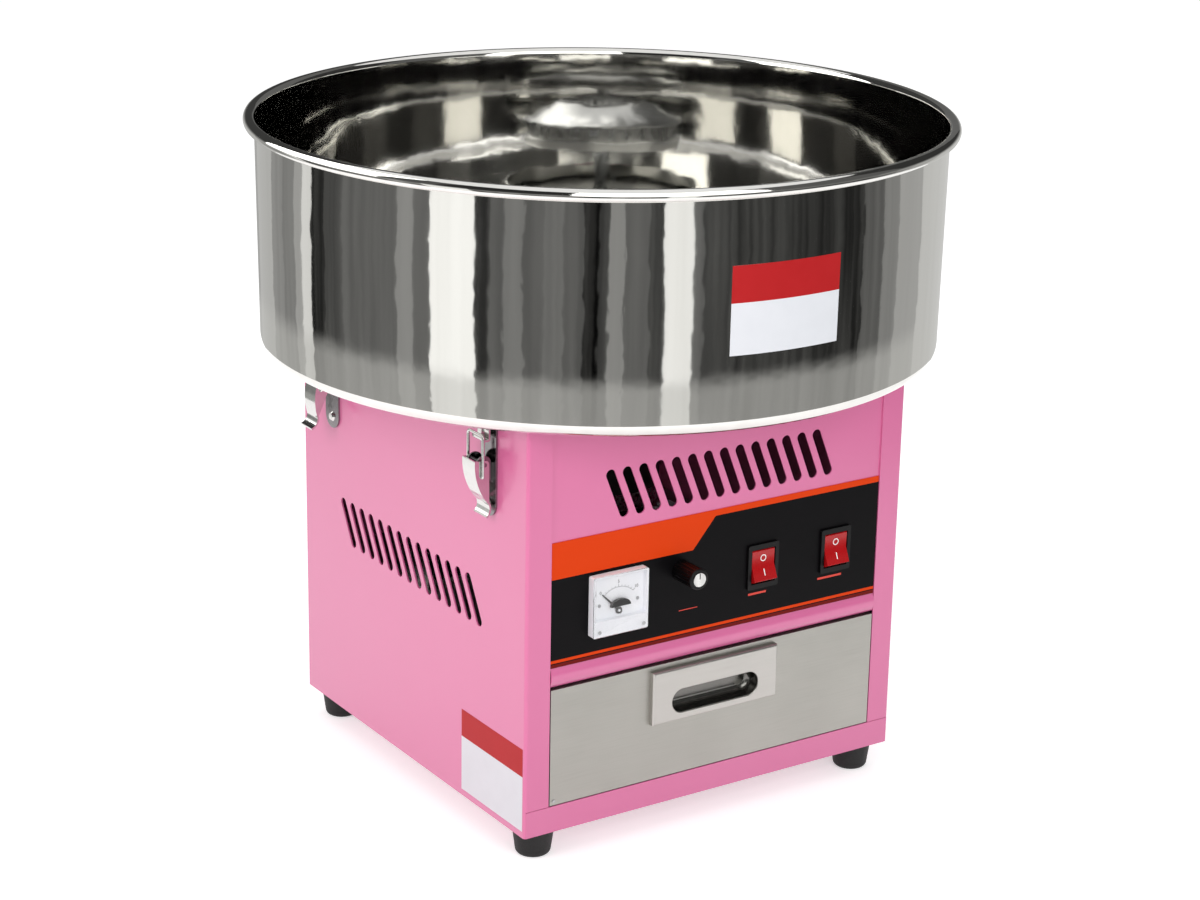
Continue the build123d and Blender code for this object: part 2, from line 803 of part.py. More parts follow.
# ---- Panel meter ----
meter_z = base + meter_height
meter_y = fascia_y - meter_rim_depth
cover_back = meter_y + meter_window_depth
meter_floor = fascia_y - meter_floor_thickness
dial_y = meter_floor - dial_thickness
needle_z = meter_z - needle_pivot_drop
meter_inner_half = meter_width / 2 - meter_rim_wall

with BuildPart() as meter_case:
    with BuildSketch(front_plane(fascia_y)):
        with Locations((meter_x, meter_z)):
            RectangleRounded(meter_width, meter_face_height, meter_corner)
    extrude(amount=fascia_y - cover_back)
    with BuildSketch(front_plane(cover_back)):
        with Locations((meter_x, meter_z)):
            Rectangle(meter_width - 2 * meter_rim_wall, meter_face_height - 2 * meter_rim_wall)
    extrude(amount=cover_back - meter_floor, mode=Mode.SUBTRACT)
    with BuildSketch(front_plane(meter_floor)):
        with Locations((meter_x, meter_z - meter_face_height / 2 + meter_rim_wall + meter_mask_height / 2)):
            Rectangle(meter_width - 2 * meter_rim_wall, meter_mask_height)
    extrude(amount=meter_floor - cover_back)
    with BuildSketch(front_plane(fascia_y)):
        with Locations((meter_x, meter_z)):
            Circle(meter_barrel_radius)
    extrude(amount=-meter_barrel_depth)
save(meter_case, "meter_case")

with BuildPart() as meter_dial:
    with BuildSketch(front_plane(meter_floor)):
        with Locations((meter_x, meter_z + meter_mask_height / 2)):
            Rectangle(2 * meter_inner_half, meter_face_height - 2 * meter_rim_wall - meter_mask_height)
    extrude(amount=dial_thickness)
    with BuildSketch(front_plane(dial_y)):
        with Locations((meter_x, needle_z)):
            Circle(needle_pin_radius)
    extrude(amount=needle_pin_length)
save(meter_dial, "meter_dial")

with BuildPart() as meter_needle:
    with BuildSketch(front_plane(dial_y - needle_lift)):
        with Locations((meter_x, needle_z)):
            Circle(needle_hub_radius)
            with Locations(Rotation(0, 0, needle_rest)):
                Polygon(
                    (-needle_width, -needle_tail), (needle_width, -needle_tail),
                    (needle_tip, needle_length), (-needle_tip, needle_length), align=None,
                )
            Circle(needle_pin_radius + running_clearance, mode=Mode.SUBTRACT)
    extrude(amount=needle_thickness)
save(meter_needle, "meter_needle")

with BuildPart() as meter_cover:
    with BuildSketch(front_plane(cover_back)):
        with Locations((meter_x, meter_z)):
            RectangleRounded(meter_width, meter_face_height, meter_corner)
    extrude(amount=meter_window_depth)
    chamfer(meter_cover.faces().sort_by(Axis.Y)[0].edges(), meter_bevel)
save(meter_cover, "meter_cover")


# ---- Control knob and its potentiometer ----
knob_z = base + knob_height
knob_back = fascia_y - knob_gap
with BuildPart() as heat_potentiometer:
    with BuildSketch(front_plane(panel_back)):
        with Locations((knob_x, knob_z)):
            Circle(potentiometer_radius)
    extrude(amount=-potentiometer_depth)
    with BuildSketch(front_plane(panel_back)):
        with Locations((knob_x, knob_z)):
            Circle(bush_radius)
    extrude(amount=bush_length)
    with BuildSketch(front_plane(fascia_y)):
        with Locations((knob_x, knob_z)):
            RegularPolygon(bush_nut_radius, 6)
    extrude(amount=bush_nut_height)
    with BuildSketch(front_plane(panel_back - bush_length)):
        with Locations((knob_x, knob_z)):
            Circle(knob_shaft_radius + running_clearance)
    extrude(amount=-bush_length - spindle_depth, mode=Mode.SUBTRACT)
save(heat_potentiometer, "heat_potentiometer")

with BuildPart() as control_knob:
    with BuildSketch(front_plane(knob_back)):
        with Locations((knob_x, knob_z)):
            Circle(knob_radius)
    extrude(amount=knob_length)
    fillet(control_knob.faces().sort_by(Axis.Y)[0].edges(), knob_round)
    with BuildSketch(front_plane(knob_back)):
        with Locations((knob_x, knob_z)):
            with PolarLocations(knob_radius, knob_flutes):
                Circle(knob_flute_radius)
    extrude(amount=knob_length - 2 * knob_round, mode=Mode.SUBTRACT)
    with BuildSketch(front_plane(knob_back)):
        with Locations((knob_x, knob_z)):
            Circle(knob_recess_radius)
    extrude(amount=knob_recess_depth, mode=Mode.SUBTRACT)
    with BuildSketch(front_plane(knob_back - knob_recess_depth)):
        with Locations((knob_x, knob_z)):
            Circle(knob_shaft_radius)
    extrude(amount=knob_back - knob_recess_depth - panel_back - spindle_depth + spindle_end_gap)
save(control_knob, "control_knob")


# ---- Rocker switches ----
switch_z = base + switch_height
bezel_y = fascia_y - bezel_depth
rocker_y = bezel_y + rocker_sink
pocket_half_x = rocker_width / 2 + rocker_gap
pocket_half_z = rocker_radius + rocker_gap


def rocker_plane(x, turn=0.0):
    """Section plane of a rocker: local x out of the panel, local y up, turned about the pin."""
    swing = radians(turn)
    return Plane(
        origin=(x, rocker_y, switch_z),
        x_dir=(0, -cos(swing), sin(swing)),
        z_dir=(-1, 0, 0),
    )


for name, x in zip(("power", "heater"), switch_places):
    with BuildPart() as switch_housing:
        with BuildSketch(front_plane(fascia_y)):
            with Locations((x, switch_z)):
                RectangleRounded(bezel_width, bezel_height, bezel_corner)
        extrude(amount=bezel_depth)
        with BuildSketch(front_plane(fascia_y)):
            with Locations((x, switch_z)):
                Rectangle(switch_body_width, switch_body_height)
        extrude(amount=-switch_body_depth)
        with BuildSketch(front_plane(bezel_y)):
            with Locations((x, switch_z)):
                Rectangle(2 * pocket_half_x, 2 * pocket_half_z)
        extrude(amount=-switch_pocket_depth, mode=Mode.SUBTRACT)
        with BuildSketch(rocker_plane(x)):
            Circle(rocker_pin_radius + running_clearance)
        extrude(amount=pocket_half_x + rocker_pin_reach, both=True, mode=Mode.SUBTRACT)
        with BuildSketch(front_plane(fascia_y + switch_body_depth)):
            with Locations([(x, switch_z + dz) for dz in (-blade_pitch, 0, blade_pitch)]):
                Rectangle(blade_width, blade_thickness)
        extrude(amount=-blade_length)
    save(switch_housing, f"{name}_switch_housing")

    with BuildPart() as rocker:
        with BuildSketch(rocker_plane(x, rocker_tilt)):
            Circle(rocker_radius)
            Polygon(
                (-rocker_back, -rocker_radius * 2), (rocker_crown, -rocker_radius * 2),
                (rocker_crown, -rocker_edge), (rocker_valley, 0), (rocker_crown, rocker_edge),
                (rocker_crown, rocker_radius * 2), (-rocker_back, rocker_radius * 2),
                align=None, mode=Mode.INTERSECT,
            )
        extrude(amount=rocker_width / 2, both=True)
        with BuildSketch(rocker_plane(x, rocker_tilt)):
            Circle(rocker_pin_radius)
        extrude(amount=pocket_half_x + rocker_pin_reach - rocker_pin_gap, both=True)
    save(rocker, f"{name}_rocker")


# ---- Motor ----
def ring(inner, outer, low, high, mode=Mode.ADD):
    """Round collar about the shaft's axis, for the part it is called in."""
    with BuildSketch(Plane.XY.offset(low)) as collar:
        Circle(outer)
        Circle(inner, mode=Mode.SUBTRACT)
    extrude(collar.sketch, amount=high - low, mode=mode)


with BuildPart() as motor_plate:
    with BuildSketch(Plane.XY.offset(plate_low)):
        RectangleRounded(motor_plate_size, motor_plate_size, damper_radius)
        Circle(plate_hole_radius, mode=Mode.SUBTRACT)
        with GridLocations(2 * damper_place, 2 * damper_place, 2, 2):
            Circle(motor_screw_radius, mode=Mode.SUBTRACT)
        with PolarLocations(motor_screw_circle, 4):
            Circle(motor_screw_radius, mode=Mode.SUBTRACT)
    extrude(amount=motor_plate_thickness)
save(motor_plate, "motor_plate")

with BuildPart() as motor_dampers:
    with GridLocations(2 * damper_place, 2 * damper_place, 2, 2):
        with Locations((0, 0, (plate_top + deck_low) / 2)):
            Cylinder(damper_radius, damper_height)
            for end in (-1, 1):
                with Locations((0, 0, end * (damper_height - damper_bore_depth) / 2)):
                    Cylinder(motor_screw_radius, damper_bore_depth, mode=Mode.SUBTRACT)
save(motor_dampers, "motor_dampers")

with BuildPart() as motor_stator:
    ring(rotor_radius + air_gap, motor_radius, stator_low, stator_top)
save(motor_stator, "motor_stator")

with BuildPart() as motor_end_bells:
    for flat, sign in ((plate_low, -1), (motor_low, 1)):
        with BuildSketch(Plane.XZ):
            with BuildLine():
                Polyline(
                    (bell_hole_radius, flat), (motor_radius, flat),
                    (motor_radius, flat + sign * bell_height),
                    (motor_radius - bell_wall, flat + sign * bell_height),
                    (motor_radius - bell_wall, flat + sign * bell_wall),
                    (bearing_radius + bell_wall, flat + sign * bell_wall),
                    (bearing_radius + bell_wall, flat + sign * (bell_wall + bearing_width)),
                    (bearing_radius, flat + sign * (bell_wall + bearing_width)),
                    (bearing_radius, flat + sign * bell_wall), (bell_hole_radius, flat + sign * bell_wall),
                    close=True,
                )
            make_face()
        revolve(axis=Axis.Z)
save(motor_end_bells, "motor_end_bells")

with BuildPart() as motor_bearings:
    for low in (plate_low - bell_wall - bearing_width, motor_low + bell_wall):
        ring(shaft_radius + running_clearance, bearing_radius, low, low + bearing_width)
save(motor_bearings, "motor_bearings")

with BuildPart() as motor_screws:
    with PolarLocations(motor_screw_circle, 4):
        with Locations((0, 0, plate_top)):
            Cylinder(motor_screw_head, motor_screw_head_height, align=standing)
        with Locations((0, 0, plate_low)):
            Cylinder(motor_screw_radius, motor_plate_thickness, align=standing)
    with GridLocations(2 * damper_place, 2 * damper_place, 2, 2):
        with Locations((0, 0, top)):
            Cylinder(motor_screw_head, deck_screw_head_height, align=standing)
            Cylinder(motor_screw_radius, sheet + damper_bore_depth, align=hanging)
        with Locations((0, 0, plate_low)):
            Cylinder(motor_screw_head, motor_screw_head_height, align=hanging)
            Cylinder(motor_screw_radius, motor_plate_thickness + damper_bore_depth, align=standing)
save(motor_screws, "motor_screws")

slip_hub_low = plate_top + slip_hub_lift
slip_hub_high = slip_hub_low + slip_hub_height
shaft_low = motor_low - fan_gap - fan_height - shaft_tail
hub_high = head_low + head_floor + head_hub_height
nut_high = hub_high + cap_nut_height
shaft_high = nut_high - cap_nut_wall
with BuildPart() as motor_shaft:
    with BuildSketch(Plane.XY.offset(shaft_low)):
        Circle(shaft_radius)
    extrude(amount=shaft_high - shaft_low)
    chamfer(motor_shaft.edges().filter_by(GeomType.CIRCLE), shaft_chamfer)
    with Locations((0, 0, shaft_low)):
        Hole(shaft_bore, depth=2 * (slip_hub_high - shaft_low))
save(motor_shaft, "motor_shaft")

rotor_middle = (stator_low + stator_top) / 2
with BuildPart() as motor_rotor:
    ring(shaft_radius, rotor_radius, rotor_middle - rotor_height / 2, rotor_middle + rotor_height / 2)
save(motor_rotor, "motor_rotor")

fan_high = motor_low - fan_gap
fan_low = fan_high - fan_height
with BuildPart() as cooling_fan:
    ring(shaft_radius, fan_hub_radius, fan_low, fan_high)
    ring(shaft_radius, fan_radius, fan_high - fan_disc, fan_high)
    with BuildSketch(Plane.XY.offset(fan_low)):
        with PolarLocations((fan_hub_radius + fan_radius) / 2, fan_blades):
            Rectangle(fan_radius - fan_hub_radius, fan_blade, rotation=fan_sweep)
    extrude(amount=fan_height - fan_disc)
save(cooling_fan, "cooling_fan")


# ---- Slip rings and brushes, between the motor plate and the deck ----
ring_lows = [slip_hub_low + ring_margin, slip_hub_high - ring_margin - slip_ring_width]
with BuildPart() as slip_ring_hub:
    ring(shaft_radius, slip_hub_radius, slip_hub_low, slip_hub_high)
save(slip_ring_hub, "slip_ring_hub")

with BuildPart() as slip_rings:
    for low in ring_lows:
        ring(slip_hub_radius, slip_ring_radius, low, low + slip_ring_width)
save(slip_rings, "slip_rings")

brush_inner = slip_ring_radius + brush_gap
with BuildPart() as brush_holder:
    box_start = brush_inner + brush_show
    box_end = brush_inner + brush_length + brush_box_wall
    with BuildSketch(Plane.XY.offset(plate_top)):
        with Locations(((box_start + box_end) / 2, 0)):
            Rectangle(box_end - box_start, brush_width + 2 * brush_box_wall)
    extrude(amount=slip_hub_high - plate_top)
    with BuildSketch(Plane.XY.offset(plate_top)):
        with Locations(((box_start + box_end) / 2, 0)):
            Rectangle(brush_foot_length, brush_foot_width)
    extrude(amount=brush_foot_height)
    for low in ring_lows:
        with Locations((brush_inner + brush_length / 2, 0, low + slip_ring_width / 2)):
            Box(brush_length, brush_width, brush_height, mode=Mode.SUBTRACT)
save(brush_holder, "brush_holder")

with BuildPart() as carbon_brushes:
    for low in ring_lows:
        with Locations((brush_inner + brush_length / 2, 0, low + slip_ring_width / 2)):
            Box(brush_length, brush_width, brush_height)
save(carbon_brushes, "carbon_brushes")


# ---- Spinner head ----
head_floor_top = head_low + head_floor
head_rim_high = head_low + head_rim_height
cone_low = head_high - cone_rise
band_radius = head_radius - head_lip
with BuildPart() as spinner_base:
    with BuildSketch(Plane.XZ):
        with BuildLine():
            Polyline(
                (shaft_radius, head_low), (head_radius, head_low), (head_radius, head_rim_high),
                (band_radius, head_rim_high), (band_radius, head_floor_top),
                (head_hub_radius, head_floor_top),
                (head_hub_radius, hub_high), (shaft_radius, hub_high), close=True,
            )
        make_face()
        fillet(vertices().group_by(Axis.Y)[0].sort_by(Axis.X)[-1], head_floor - sheet)
    revolve(axis=Axis.Z)
save(spinner_base, "spinner_base")

with BuildPart() as spinner_band:
    ring(band_radius - band_wall, band_radius, head_floor_top, cone_low)
    with BuildSketch(Plane.XY.offset(head_rim_high + band_slot_lift)):
        with PolarLocations(band_radius - band_wall / 2, band_slots):
            Rectangle(3 * band_wall, band_slot_width)
    extrude(amount=band_slot_height, mode=Mode.SUBTRACT)
save(spinner_band, "spinner_band")

with BuildPart() as spinner_cone:
    with BuildSketch(Plane.XZ):
        with BuildLine():
            Polyline(
                (head_radius - band_wall, cone_low + cone_wall / 2),
                (cone_mouth_radius + cone_wall / 2, head_high - cone_collar),
                (cone_mouth_radius + cone_wall / 2, head_high),
            )
        trace(line_width=cone_wall)
        with Locations((head_radius - head_lip, cone_low + cone_wall / 2)):
            Rectangle(2 * head_lip, cone_wall)
    revolve(axis=Axis.Z)
save(spinner_cone, "spinner_cone")

heater_z = head_floor_top + heater_lift
with BuildPart() as heater_coil:
    with BuildSketch(Plane.XZ):
        with Locations((heater_radius, heater_z)):
            Circle(heater_tube)
    revolve(axis=Axis.Z)
    with BuildSketch(Plane.XY.offset(head_floor_top)):
        with PolarLocations(heater_radius, 3):
            Circle(heater_leg_radius)
    extrude(amount=heater_lift)
save(heater_coil, "heater_coil")

with BuildPart() as head_nut:
    with BuildSketch(Plane.XY.offset(hub_high)):
        RegularPolygon(cap_nut_radius, 6)
    extrude(amount=cap_nut_flats)
    with BuildSketch(Plane.XY.offset(hub_high)):
        Circle(cap_nut_seat_radius)
    extrude(amount=cap_nut_height)
    fillet(head_nut.faces().sort_by(Axis.Z)[-1].edges(), cap_nut_round)
    with BuildSketch(Plane.XY.offset(hub_high)):
        Circle(shaft_radius)
    extrude(amount=shaft_high - hub_high, mode=Mode.SUBTRACT)
save(head_nut, "head_nut")


# ---- Heat regulator, terminal block and cable gland ----
regulator_pitch = (regulator_width - regulator_fin) / (regulator_fins - 1)
with BuildPart() as heat_regulator:
    with BuildSketch(Plane.XY.offset(shelf_top)):
        with Locations((-regulator_x, regulator_y)):
            Rectangle(regulator_width, regulator_height)
    extrude(amount=regulator_base)
    with BuildSketch(Plane.XY.offset(shelf_top + regulator_base)):
        with Locations((-regulator_x, regulator_y)):
            with GridLocations(regulator_pitch, 1, regulator_fins, 1):
                Rectangle(regulator_fin, regulator_height)
    extrude(amount=regulator_fin_depth)
save(heat_regulator, "heat_regulator")

with BuildPart() as terminal_block:
    with BuildSketch(Plane.XY.offset(shelf_top)):
        with Locations((regulator_x, regulator_y)):
            Rectangle(terminal_count * terminal_pitch, terminal_depth)
    extrude(amount=terminal_height)
    with BuildSketch(Plane.XY.offset(shelf_top + terminal_height)):
        with Locations((regulator_x, regulator_y)):
            with GridLocations(terminal_pitch, terminal_depth / 2, terminal_count, 2):
                Circle(terminal_hole_radius)
    extrude(amount=-terminal_hole_depth, mode=Mode.SUBTRACT)
    with BuildSketch(Plane.XY.offset(shelf_top + terminal_height)):
        with Locations((regulator_x, regulator_y)):
            with GridLocations(terminal_pitch, 1, terminal_count - 1, 1):
                Rectangle(sheet, terminal_depth)
    extrude(amount=terminal_barrier)
save(terminal_block, "terminal_block")

gland_z = base + gland_height
with BuildPart() as cable_gland:
    with BuildSketch(front_plane(half_depth - sheet)):
        with Locations((gland_x, gland_z)):
            Circle(gland_radius)
    extrude(amount=-gland_length)
    with BuildSketch(front_plane(inner_y)):
        with Locations((gland_x, gland_z)):
            Circle(gland_flange_radius)
            Circle(gland_radius, mode=Mode.SUBTRACT)
    extrude(amount=-gland_flange)
    with BuildSketch(front_plane(inner_y - sheet)):
        with Locations((gland_x, gland_z)):
            RegularPolygon(gland_flange_radius, 6)
    extrude(amount=gland_nut)
    with BuildSketch(front_plane(inner_y - sheet)):
        with Locations((gland_x, gland_z)):
            Circle(gland_radius)
    extrude(amount=-sheet)
    with BuildSketch(front_plane(inner_y + gland_length)):
        with Locations((gland_x, gland_z)):
            Circle(gland_bore)
    extrude(amount=gland_length + sheet + gland_nut, mode=Mode.SUBTRACT)
save(cable_gland, "cable_gland")
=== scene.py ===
"""Looks of the table-top candy floss machine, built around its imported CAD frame.

Metres, in the CAD's frame: +Z up, -Y to the front, the origin on the floor under the cabinet.
"""

import json
import math

import bpy
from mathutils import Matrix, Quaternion, Vector


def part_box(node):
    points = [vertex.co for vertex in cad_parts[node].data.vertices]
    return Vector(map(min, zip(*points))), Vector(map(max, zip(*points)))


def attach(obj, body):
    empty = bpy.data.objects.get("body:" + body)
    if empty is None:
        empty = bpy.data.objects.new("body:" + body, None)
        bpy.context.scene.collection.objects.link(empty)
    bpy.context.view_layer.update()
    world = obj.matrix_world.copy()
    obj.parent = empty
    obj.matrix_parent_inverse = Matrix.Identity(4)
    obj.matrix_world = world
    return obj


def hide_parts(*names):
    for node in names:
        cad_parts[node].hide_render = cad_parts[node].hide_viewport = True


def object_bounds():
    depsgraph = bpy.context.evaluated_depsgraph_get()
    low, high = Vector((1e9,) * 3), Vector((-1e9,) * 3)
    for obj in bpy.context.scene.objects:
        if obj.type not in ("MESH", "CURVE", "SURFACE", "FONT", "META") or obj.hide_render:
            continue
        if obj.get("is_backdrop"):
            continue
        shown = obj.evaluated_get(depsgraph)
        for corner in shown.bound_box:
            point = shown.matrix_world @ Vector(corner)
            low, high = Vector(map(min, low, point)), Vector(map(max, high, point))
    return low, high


MM = 0.001
WELD = 0.001 * MM  # corners closer than this are one

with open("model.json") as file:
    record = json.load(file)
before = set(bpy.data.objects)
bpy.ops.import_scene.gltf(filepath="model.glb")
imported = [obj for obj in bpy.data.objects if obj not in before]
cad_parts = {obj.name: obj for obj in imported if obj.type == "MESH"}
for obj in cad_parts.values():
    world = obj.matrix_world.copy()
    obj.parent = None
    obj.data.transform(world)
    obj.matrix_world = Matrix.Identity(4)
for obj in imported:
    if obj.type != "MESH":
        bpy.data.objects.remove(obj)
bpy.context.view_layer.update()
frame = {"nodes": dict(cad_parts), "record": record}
slot_of = {part["node"]: part["material_slot"] for part in frame["record"]["subparts"]}
body_of = {node: body for body, nodes in frame["record"]["behaviour"]["bodies"].items() for node in nodes}


# ---- Modelling helpers ----
def select_none():
    if bpy.context.object and bpy.context.object.mode != "OBJECT":
        bpy.ops.object.mode_set(mode="OBJECT")
    bpy.ops.object.select_all(action="DESELECT")


def hold(piece):
    """Makes a piece the only one selected, and the active one."""
    select_none()
    piece.select_set(True)
    bpy.context.view_layer.objects.active = piece


def edit(piece):
    """Opens a piece in edit mode with all of it selected."""
    hold(piece)
    bpy.ops.object.mode_set(mode="EDIT")
    bpy.ops.mesh.select_all(action="SELECT")


def close_edit():
    bpy.ops.object.mode_set(mode="OBJECT")


def apply_place(piece):
    hold(piece)
    bpy.ops.object.transform_apply(location=True, rotation=True, scale=True)


def apply_modifiers(piece):
    hold(piece)
    for modifier in list(piece.modifiers):
        bpy.ops.object.modifier_apply(modifier=modifier.name)


def round_off(piece, angle=35):
    """Smooth shading that keeps the edges sharper than an angle, and large faces flat."""
    hold(piece)
    bpy.ops.object.shade_smooth_by_angle(angle=math.radians(angle))
    flat = piece.modifiers.new("flat", "WEIGHTED_NORMAL")
    flat.keep_sharp = True
    apply_modifiers(piece)


def bevel(piece, width, segments=2, angle=30):
    soft = piece.modifiers.new("edges", "BEVEL")
    soft.width = width
    soft.segments = segments
    soft.limit_method = "ANGLE"
    soft.angle_limit = math.radians(angle)
    apply_modifiers(piece)


def cut(piece, cutter):
    """Takes the shape of a cutter out of a piece."""
    taken = piece.modifiers.new("cut", "BOOLEAN")
    taken.operation = "DIFFERENCE"
    taken.object = cutter
    apply_modifiers(piece)
    bpy.data.objects.remove(cutter)


def joined(pieces):
    """One piece of several."""
    select_none()
    for piece in pieces:
        piece.select_set(True)
    bpy.context.view_layer.objects.active = pieces[0]
    bpy.ops.object.join()
    return pieces[0]


def fit_out(piece, name, node, finish=None):
    """Names a piece and makes it ride with the body of the node that it sits on, in that node's slot."""
    piece.name = piece.data.name = name
    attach(piece, body_of[node])
    piece.data.materials.clear()
    piece.data.materials.append(finish or finishes[slot_of[node]])
    return piece


def turned(rings, segments=192):
    """A thin shell turned about the upright axis: a circle is extruded from ring to ring, (radius, height) each."""
    (radius, height), *others = rings
    select_none()
    bpy.ops.mesh.primitive_circle_add(vertices=segments, radius=radius, location=(0, 0, height))
    shell = bpy.context.object
    apply_place(shell)
    edit(shell)
    for wider, higher in others:
        bpy.ops.mesh.extrude_edges_move(TRANSFORM_OT_translate={"value": (0, 0, higher - height)})
        scale = wider / radius
        bpy.ops.transform.resize(value=(scale, scale, 1), center_override=(0, 0, higher))
        radius, height = wider, higher
    close_edit()
    return shell


def arc(centre, radius, start, sweep, steps):
    """Points of an arc in the (radius, height) plane, angles in degrees."""
    angles = [math.radians(start + sweep * step / steps) for step in range(steps + 1)]
    return [(centre[0] + radius * math.cos(a), centre[1] + radius * math.sin(a)) for a in angles]


def sector(shell, start, end):
    """Keeps the stretch of a turned shell between two azimuths, 0 in front and 90 at the right."""
    edit(shell)
    for azimuth, side in ((start, 1), (end, -1)):
        bpy.ops.mesh.select_all(action="SELECT")
        swing = math.radians(azimuth)
        normal = (side * math.cos(swing), side * math.sin(swing), 0)
        bpy.ops.mesh.bisect(plane_co=(0, 0, 0), plane_no=normal, clear_inner=True)
    close_edit()
    return shell


def walled(shell, thickness):
    """Gives a thin shell its thickness, half to each side, with the faces outwards."""
    edit(shell)
    bpy.ops.mesh.remove_doubles(threshold=0.01 * MM)
    bpy.ops.mesh.normals_make_consistent(inside=False)
    close_edit()
    wall = shell.modifiers.new("wall", "SOLIDIFY")
    wall.thickness = thickness
    wall.offset = 0
    apply_modifiers(shell)
    return shell


def facing_front(piece, x, y, z, lean=0):
    """Turns a piece that lies on its back to face the front, leaning back by an angle, and puts it in its place."""
    piece.rotation_euler = (math.radians(90 - lean), 0, 0)
    piece.location = (x, y, z)
    apply_place(piece)
    return piece


def disc(radius, height, segments=48, edge=0.0):
    """A round stud lying on its back, with its foot on the ground."""
    select_none()
    bpy.ops.mesh.primitive_cylinder_add(vertices=segments, radius=radius, depth=height, location=(0, 0, height / 2))
    stud = bpy.context.object
    apply_place(stud)
    if edge:
        bevel(stud, edge, 3)
    return stud


def bar(width, tall, height, x=0.0, y=0.0, z=0.0, turn=0.0):
    """A flat bar lying on its back."""
    select_none()
    bpy.ops.mesh.primitive_cube_add(size=1, location=(x, y, z + height / 2), rotation=(0, 0, math.radians(turn)))
    made = bpy.context.object
    made.scale = (width, tall, height)
    apply_place(made)
    return made


def slotted_screw(radius, height, turn):
    """A pan head with its slot, lying on its back."""
    head = disc(radius, height, 32, height * 0.4)
    cut(head, bar(radius * 2.4, radius * 0.32, height, z=height * 0.45, turn=turn))
    return head


CAP_SHARE = 0.72  # a capital's height as a share of the letter size
INK = 0.04 * MM


def printed(text, tall, x, y, z, lean=0):
    """Characters printed on a face that looks to the front, so tall at their capitals."""
    select_none()
    bpy.ops.object.text_add()
    words = bpy.context.object
    words.data.body = text
    words.data.size = tall / CAP_SHARE
    words.data.align_x = "CENTER"
    words.data.align_y = "CENTER"
    words.data.extrude = INK
    bpy.ops.object.convert(target="MESH")
    piece = bpy.context.object
    edit(piece)
    bpy.ops.mesh.remove_doubles(threshold=WELD)
    close_edit()
    return facing_front(piece, x, y, z, lean)


def dressed(node, edge=0.25 * MM, angle=35, finish=None):
    """A copy of a CAD node with its triangles merged and its edges softened, which stands for the node."""
    source = frame["nodes"][node]
    select_none()
    piece = source.copy()
    piece.data = source.data.copy()
    piece.parent = None
    for key in list(piece.keys()):
        del piece[key]
    bpy.context.collection.objects.link(piece)
    hold(piece)
    bpy.ops.mesh.customdata_custom_splitnormals_clear()
    edit(piece)
    bpy.ops.mesh.remove_doubles(threshold=WELD)
    bpy.ops.mesh.dissolve_limited(angle_limit=math.radians(0.5), delimit={"NORMAL"})
    close_edit()
    if edge:
        bevel(piece, edge, angle=angle)
    round_off(piece, angle)
    fit_out(piece, node + "_dressed", node, finish)
    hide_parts(node)
    return piece


# ---- Finishes: each is named for the real material, and for painted shade where it carries some ----
MIX_FIRST, MIX_SECOND, MIXED = 6, 7, 2  # colour sockets of a Mix node


def linear(text):
    """Linear colour of an sRGB hex value."""
    parts = [int(text[i : i + 2], 16) / 255 for i in (1, 3, 5)]
    return tuple(c / 12.92 if c <= 0.04045 else ((c + 0.055) / 1.055) ** 2.4 for c in parts) + (1.0,)


def put(tree, kind, values=None, links=None, **settings):
    """Adds a node, sets its settings and input values, and links its inputs."""
    made = tree.nodes.new("ShaderNode" + kind)
    for name, value in settings.items():
        setattr(made, name, value)
    for socket, value in (values or {}).items():
        made.inputs[socket].default_value = value
    for socket, source in (links or {}).items():
        tree.links.new(source, made.inputs[socket])
    return made


def per_metre(feature):
    """Noise scale at which one feature of the pattern is about this many millimetres across."""
    return 1 / (feature * MM)


def new_finish(name, **values):
    """A material, its tree, its shader with these plain values, and its place in Object coordinates."""
    finish = bpy.data.materials.new(name)
    finish.use_nodes = True
    tree = finish.node_tree
    shader = tree.nodes["Principled BSDF"]
    for socket, value in values.items():
        shader.inputs[socket.replace("_", " ")].default_value = value
    return finish, tree, shader, put(tree, "TexCoord").outputs["Object"]


def lead(tree, shader, **sources):
    """Links patterns to the shader's inputs."""
    for socket, source in sources.items():
        tree.links.new(source, shader.inputs[socket.replace("_", " ")])


def powder_coat(name, first, second):
    """Polyester powder coat, sprayed and baked: an even colour with a soft gloss and the faint orange peel of the
    melted powder, drawn 1.6 mm across."""
    finish, tree, shader, where = new_finish(name, Roughness=0.36, Coat_Weight=0.8, Coat_Roughness=0.18, Coat_IOR=1.6)
    clouds = put(tree, "TexNoise", {"Scale": per_metre(90), "Detail": 2}, {"Vector": where})
    colour = put(tree, "Mix", {MIX_FIRST: linear(first), MIX_SECOND: linear(second)},
                 {0: clouds.outputs["Fac"]}, data_type="RGBA")
    peel = put(tree, "TexNoise", {"Scale": per_metre(1.6), "Detail": 2}, {"Vector": where})
    bump = put(tree, "Bump", {"Strength": 0.3, "Distance": 0.02 * MM}, {"Height": peel.outputs["Fac"]})
    lead(tree, shader, Base_Color=colour.outputs[MIXED], Normal=bump.outputs["Normal"])
    return finish


